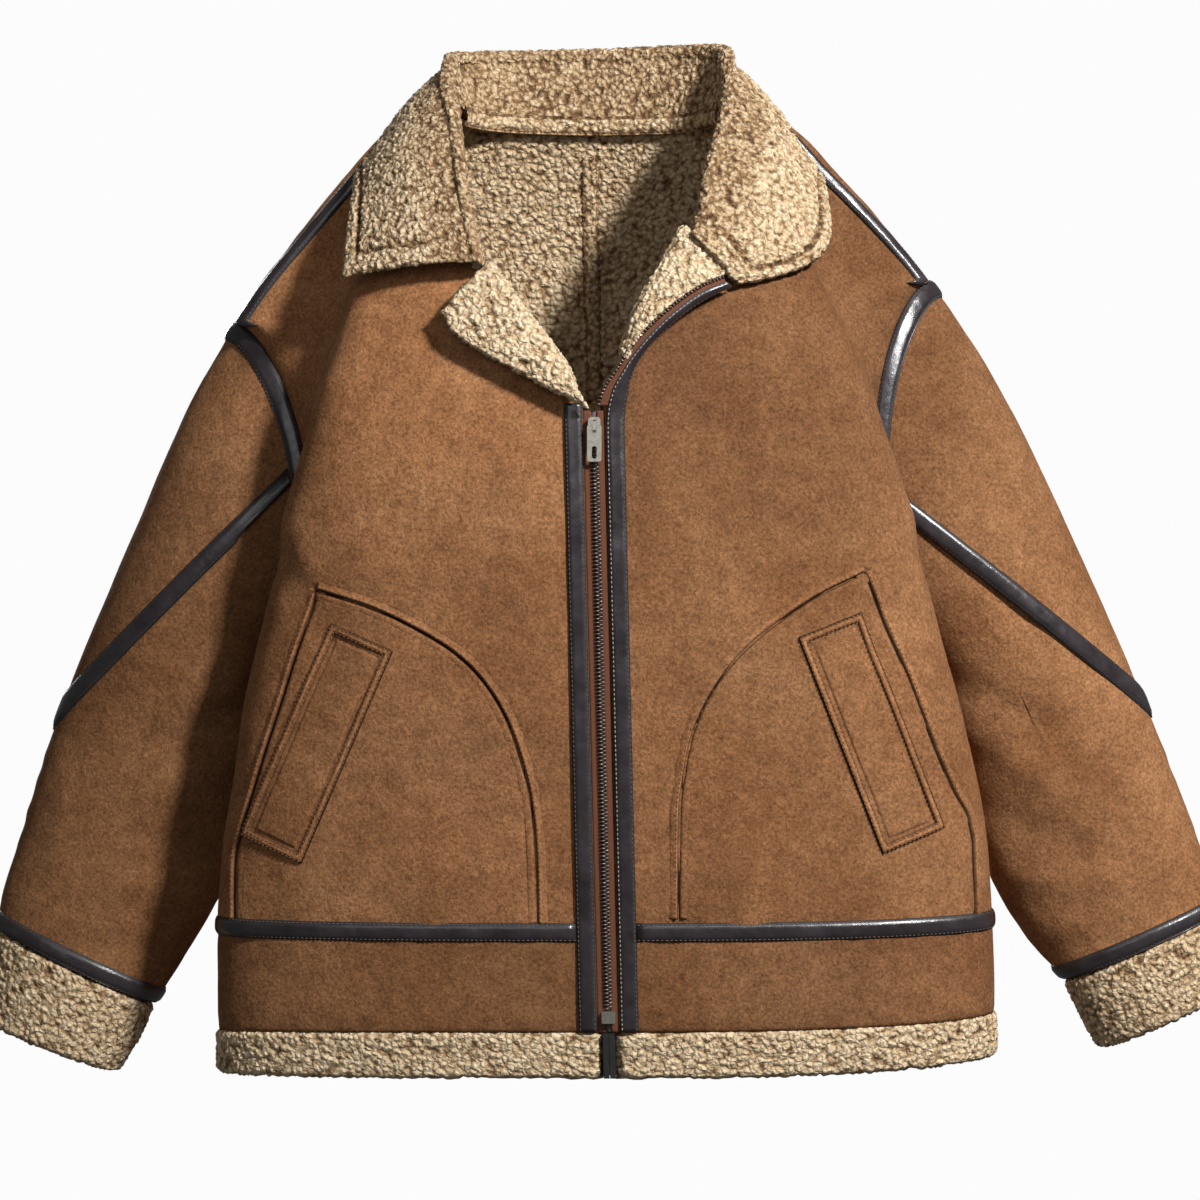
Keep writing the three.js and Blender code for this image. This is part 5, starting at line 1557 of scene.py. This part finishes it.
def welts():
    """Each a rounded frame round a flatter middle, with two lines of stitches."""
    half_wide, half_long, bar = WELT["wide"] / 2, WELT["long"] / 2, WELT["bar"]
    for side, name in NAMES.items():
        us, vs = np.meshgrid(spread(-half_wide, half_wide, WELT["wide"], 0.95),
                             spread(-half_long, half_long, WELT["long"], 1.15))
        x, z = turned_place(WELTS[side], us, vs)
        points = body_point(side, FRONT, across(side, z, x), z)
        aside = np.minimum(half_wide - np.abs(us), half_long - np.abs(vs))
        puff = np.sqrt(np.clip(1 - np.abs((aside - bar / 2) / (bar / 2)) ** 2.6, 0, 1))
        within = smooth((aside - bar - 1.2) / 3)
        sag = 0.5 * cloud(points, 30, 400 + side) + 0.25 * cloud(points, 10, 401 + side)
        own = uneven(points, 10 + side) + REST + creases(points, BODY_CREASES)
        relief = own - WELT["sunk"] + np.where(aside < bar, WELT["puff"] * puff, WELT["middle"] * within)
        relief = relief + sag * smooth(aside / 4) * 0.6
        groove = np.exp(-((aside - bar - 0.7) / 1.5) ** 2) + np.exp(-((aside - 0.4) / 1.6) ** 2)
        crest = np.exp(-((aside - bar / 2) / 1.3) ** 2)
        # Painted highlight on each bar's crest, painted shade in the grooves beside it.
        shade = 0.86 + 0.4 * crest - 0.86 * groove + 0.05 * cloud(points, 20, 402)
        shade = SUEDE_REST * np.maximum(shade, 0.04) * (0.06 + painted_light(FRONT_PAINTED_LIGHT[side], points))
        panel(f"welt_{name}_suede", points, relief, [f"welt_{name}"], turned=2.2, shade=shade)
        for inset in (1.3, bar - 1.1):
            a, b = half_wide - inset, half_long - inset
            corners = np.array([[-a, -b], [a, -b], [a, b], [-a, b], [-a, -b]])
            line = np.stack(turned_place(WELTS[side], corners[:, 0], corners[:, 1]), axis=-1)
            body_lines.append(line_on_front(side, line, 1.6))


# The zip: its teeth's pitch, half height, half depth and how their tops narrow, and the closed zip's lean
TOOTH_PITCH = 2.8
TOOTH_HALF = 0.62
TOOTH_OUT = 0.6
TOOTH_TOP = (0.7, 0.6)
ZIP_DOWN = np.array([0.024, 0, -1.0])
# How far its cloths lie behind the fronts, and a sheet of painted shadow behind the gap in the hem
CORE_SUNK = 1.9
TAPE_SUNK = 0.9
GAP_SHADOW_SHEET = {"half": 11, "sunk": 3.6, "shade": 0.25}


def flat_cloth(name, first, last, count, turned=1.0, sunk=0.0, solids=(), material=TAPE, slot="zip_cloth",
               shade=None):
    points = between(first, last, count)
    relief = np.full(points.shape[:2], -sunk)
    panel(name, points, relief, solids, forward(points), False, turned, material, shade)


def zipper():
    z = spread(HEM_SEAM["middle"] + 0.5, SLIDER_Z + 12, 450, 2.5)
    core = [placket_line(side, CHAIN_HALF, -CORE_SUNK, z) for side in NAMES]
    flat_cloth("zip_core_cloth", *core, 3, material=DARK_THREAD)
    for side, name in NAMES.items():
        edges = [placket_line(side, d, -TAPE_SUNK, z) for d in (CHAIN_HALF - 0.5, ZIP_EDGE - SEAM)]
        flat_cloth(f"zip_tape_{name}_cloth", *edges, 5, solids=[f"zip_tape_{name}"])
    z = spread(HEM_EDGE["middle"] + 1.5, HEM_SEAM["middle"] + 2, 34, 2)
    # A dark suede sheet in the gap at the hem: painted shadow where only shade lies.
    ends = [placket_line(side, GAP_SHADOW_SHEET["half"], -GAP_SHADOW_SHEET["sunk"], z) for side in NAMES]
    shade = np.full((5, len(z)), GAP_SHADOW_SHEET["shade"])
    flat_cloth("hem_gap_shadow_sheet", *ends, 5, material=SUEDE, slot="suede", shade=shade)
    closed = []
    for height in np.arange(ZIP_BOX_TOP + 1.5, SLIDER_Z - SLIDER_HALF - 0.5, TOOTH_PITCH):
        for side in NAMES:
            x, y = zip_x(height) + side * 1.25, -read(BODY, "front", height, "z") - 0.2
            closed.append((np.array([x, y, height + (TOOTH_PITCH / 2 if side == LEFT else 0)]), ZIP_DOWN))
    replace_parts(teeth("zip_teeth", closed, 3.6), "zip_chain")
    line = resampled(open_zip_place(np.linspace(0.03, 0.985, 120), "teethX", "", "lift"), TOOTH_PITCH)
    teeth("zip_teeth_open", zip(line, unit(np.gradient(line, axis=0))), 3.0)
    u = spread(0.02, 0.99, 170, 2.2)
    flap = [open_zip_place(u, "teethX", "", "lift"), open_zip_place(u, "tapeX", "tapeDrop", "lift")]
    flat_cloth("zip_tape_open_cloth", *flap, 5, turned=0.8, sunk=0.4)


def teeth(name, places, wide):
    """Small rounded blocks, each across the line of the zip."""
    points, faces = [], []
    ends = ((-1, (1, 1)), (1, TOOTH_TOP))
    square = ((-1, -1), (1, -1), (1, 1), (-1, 1))
    corners = [(a * share[0], b * share[1], c) for c, share in ends for a, b in square]
    sides = np.array([(0, 3, 2, 1), (4, 5, 6, 7), (0, 1, 5, 4), (1, 2, 6, 5), (2, 3, 7, 6), (3, 0, 4, 7)])
    out = np.array([0, -1.0, 0])
    for place, along in places:
        across_it = unit(np.cross(along, out))
        faces.append(sides + len(points))
        for a, b, c in corners:
            flat = place + across_it * a * wide / 2 + along * b * TOOTH_HALF
            points.append(flat + out * (c + 1) * TOOTH_OUT)
    return make(name, np.array(points), [np.concatenate(faces)], TEETH, smooth_shading=False)


def hardware():
    """The zip's metal and the hem's end tabs are the solids' own, with their edges worn or softened."""
    own = [(name, METAL, 0.0004, 2) for name in ("zip_slider", "zip_pull", "zip_box")]
    own += [(name, LEATHER, 0.0008, 3) for name in ("hem_tab_right", "hem_tab_left")]
    for name, finish, width, segments in own:
        mesh = nodes[name].data
        mesh.materials.clear()
        mesh.materials.append(finish)
        edges = nodes[name].modifiers.new("soft edges", "BEVEL")
        edges.width = width
        edges.segments = segments


# The backdrop: its section in Y and Z in metres, half its width and how bright it is
FLOOR_SECTION = [(-4.0, -1.25), (3.6, -1.25), (4.0, -1.17), (4.2, -1.0), (4.3, -0.7), (4.35, 5.0)]
FLOOR_HALF = 7.0
FLOOR_LIGHT = 0.974
WORLD_LIGHT = 0.12
# Lights: name, place, size and power, all aimed at one place
LIGHTS = [
    ("key", (1.45, -1.75, 1.2), 0.3, 124),
    ("fill", (-0.7, -3.2, 0.7), 1.6, 12),
    ("back", (-0.9, 2.7, 0.7), 1.5, 65),
]
LIGHTS_AIM = (0, 0, -0.38)


def studio():
    plain = bpy.data.materials.new("pale_floor")
    plain.use_nodes = True
    shader = plain.node_tree.nodes["Principled BSDF"]
    shader.inputs["Base Color"].default_value = (0, 0, 0, 1)
    shader.inputs["Specular IOR Level"].default_value = 0
    shader.inputs["Emission Color"].default_value = (1, 1, 1, 1)
    shader.inputs["Emission Strength"].default_value = FLOOR_LIGHT
    points = [(x, y, z) for y, z in FLOOR_SECTION for x in (-FLOOR_HALF, FLOOR_HALF)]
    faces = [[i, i + 1, i + 3, i + 2] for i in range(0, len(points) - 2, 2)]
    mesh = bpy.data.meshes.new("floor")
    mesh.from_pydata(points, [], faces)
    mesh.materials.append(plain)
    floor = bpy.data.objects.new("floor", mesh)
    bpy.context.scene.collection.objects.link(floor)
    floor.visible_diffuse = False
    floor.visible_glossy = False

    world = bpy.data.worlds.new("studio")
    world.use_nodes = True
    sky = world.node_tree.nodes["Background"]
    sky.inputs["Color"].default_value = (1, 1, 1, 1)
    sky.inputs["Strength"].default_value = WORLD_LIGHT
    bpy.context.scene.world = world
    for name, place, size, power in LIGHTS:
        light = bpy.data.lights.new(name, "AREA")
        light.size = size
        light.energy = power
        lamp = bpy.data.objects.new(name, light)
        lamp.location = place
        lamp.rotation_euler = (Vector(LIGHTS_AIM) - lamp.location).to_track_quat("-Z", "Y").to_euler()
        bpy.context.scene.collection.objects.link(lamp)

    camera = bpy.data.cameras.new("camera")
    camera.sensor_width = SENSOR
    camera.lens = SENSOR * CAMERA_AWAY / FRAME_WIDE
    eye = bpy.data.objects.new("camera", camera)
    eye.location = (0, -CAMERA_AWAY, CAMERA_Z)
    eye.rotation_euler = (math.pi / 2, 0, 0)
    bpy.context.scene.collection.objects.link(eye)
    bpy.context.scene.camera = eye
    bpy.context.scene.view_settings.view_transform = "Standard"


for side in NAMES:
    front(side)
    back(side)
waist()
sleeves()
collar()
lapel(RIGHT, 110)
lapel(LEFT, 70)
cuffs()
hem()
linings()
inside_tapes()
bindings()
plackets()
welts()
zipper()
stitches("leather_stitches", leather_lines, DARK_THREAD)
stitches("placket_stitches", pale_lines, PALE_THREAD)
stitches("suede_stitches", body_lines, TAN_THREAD)
stitches("pile_stitches", pile_lines, TAN_THREAD)
hardware()
studio()
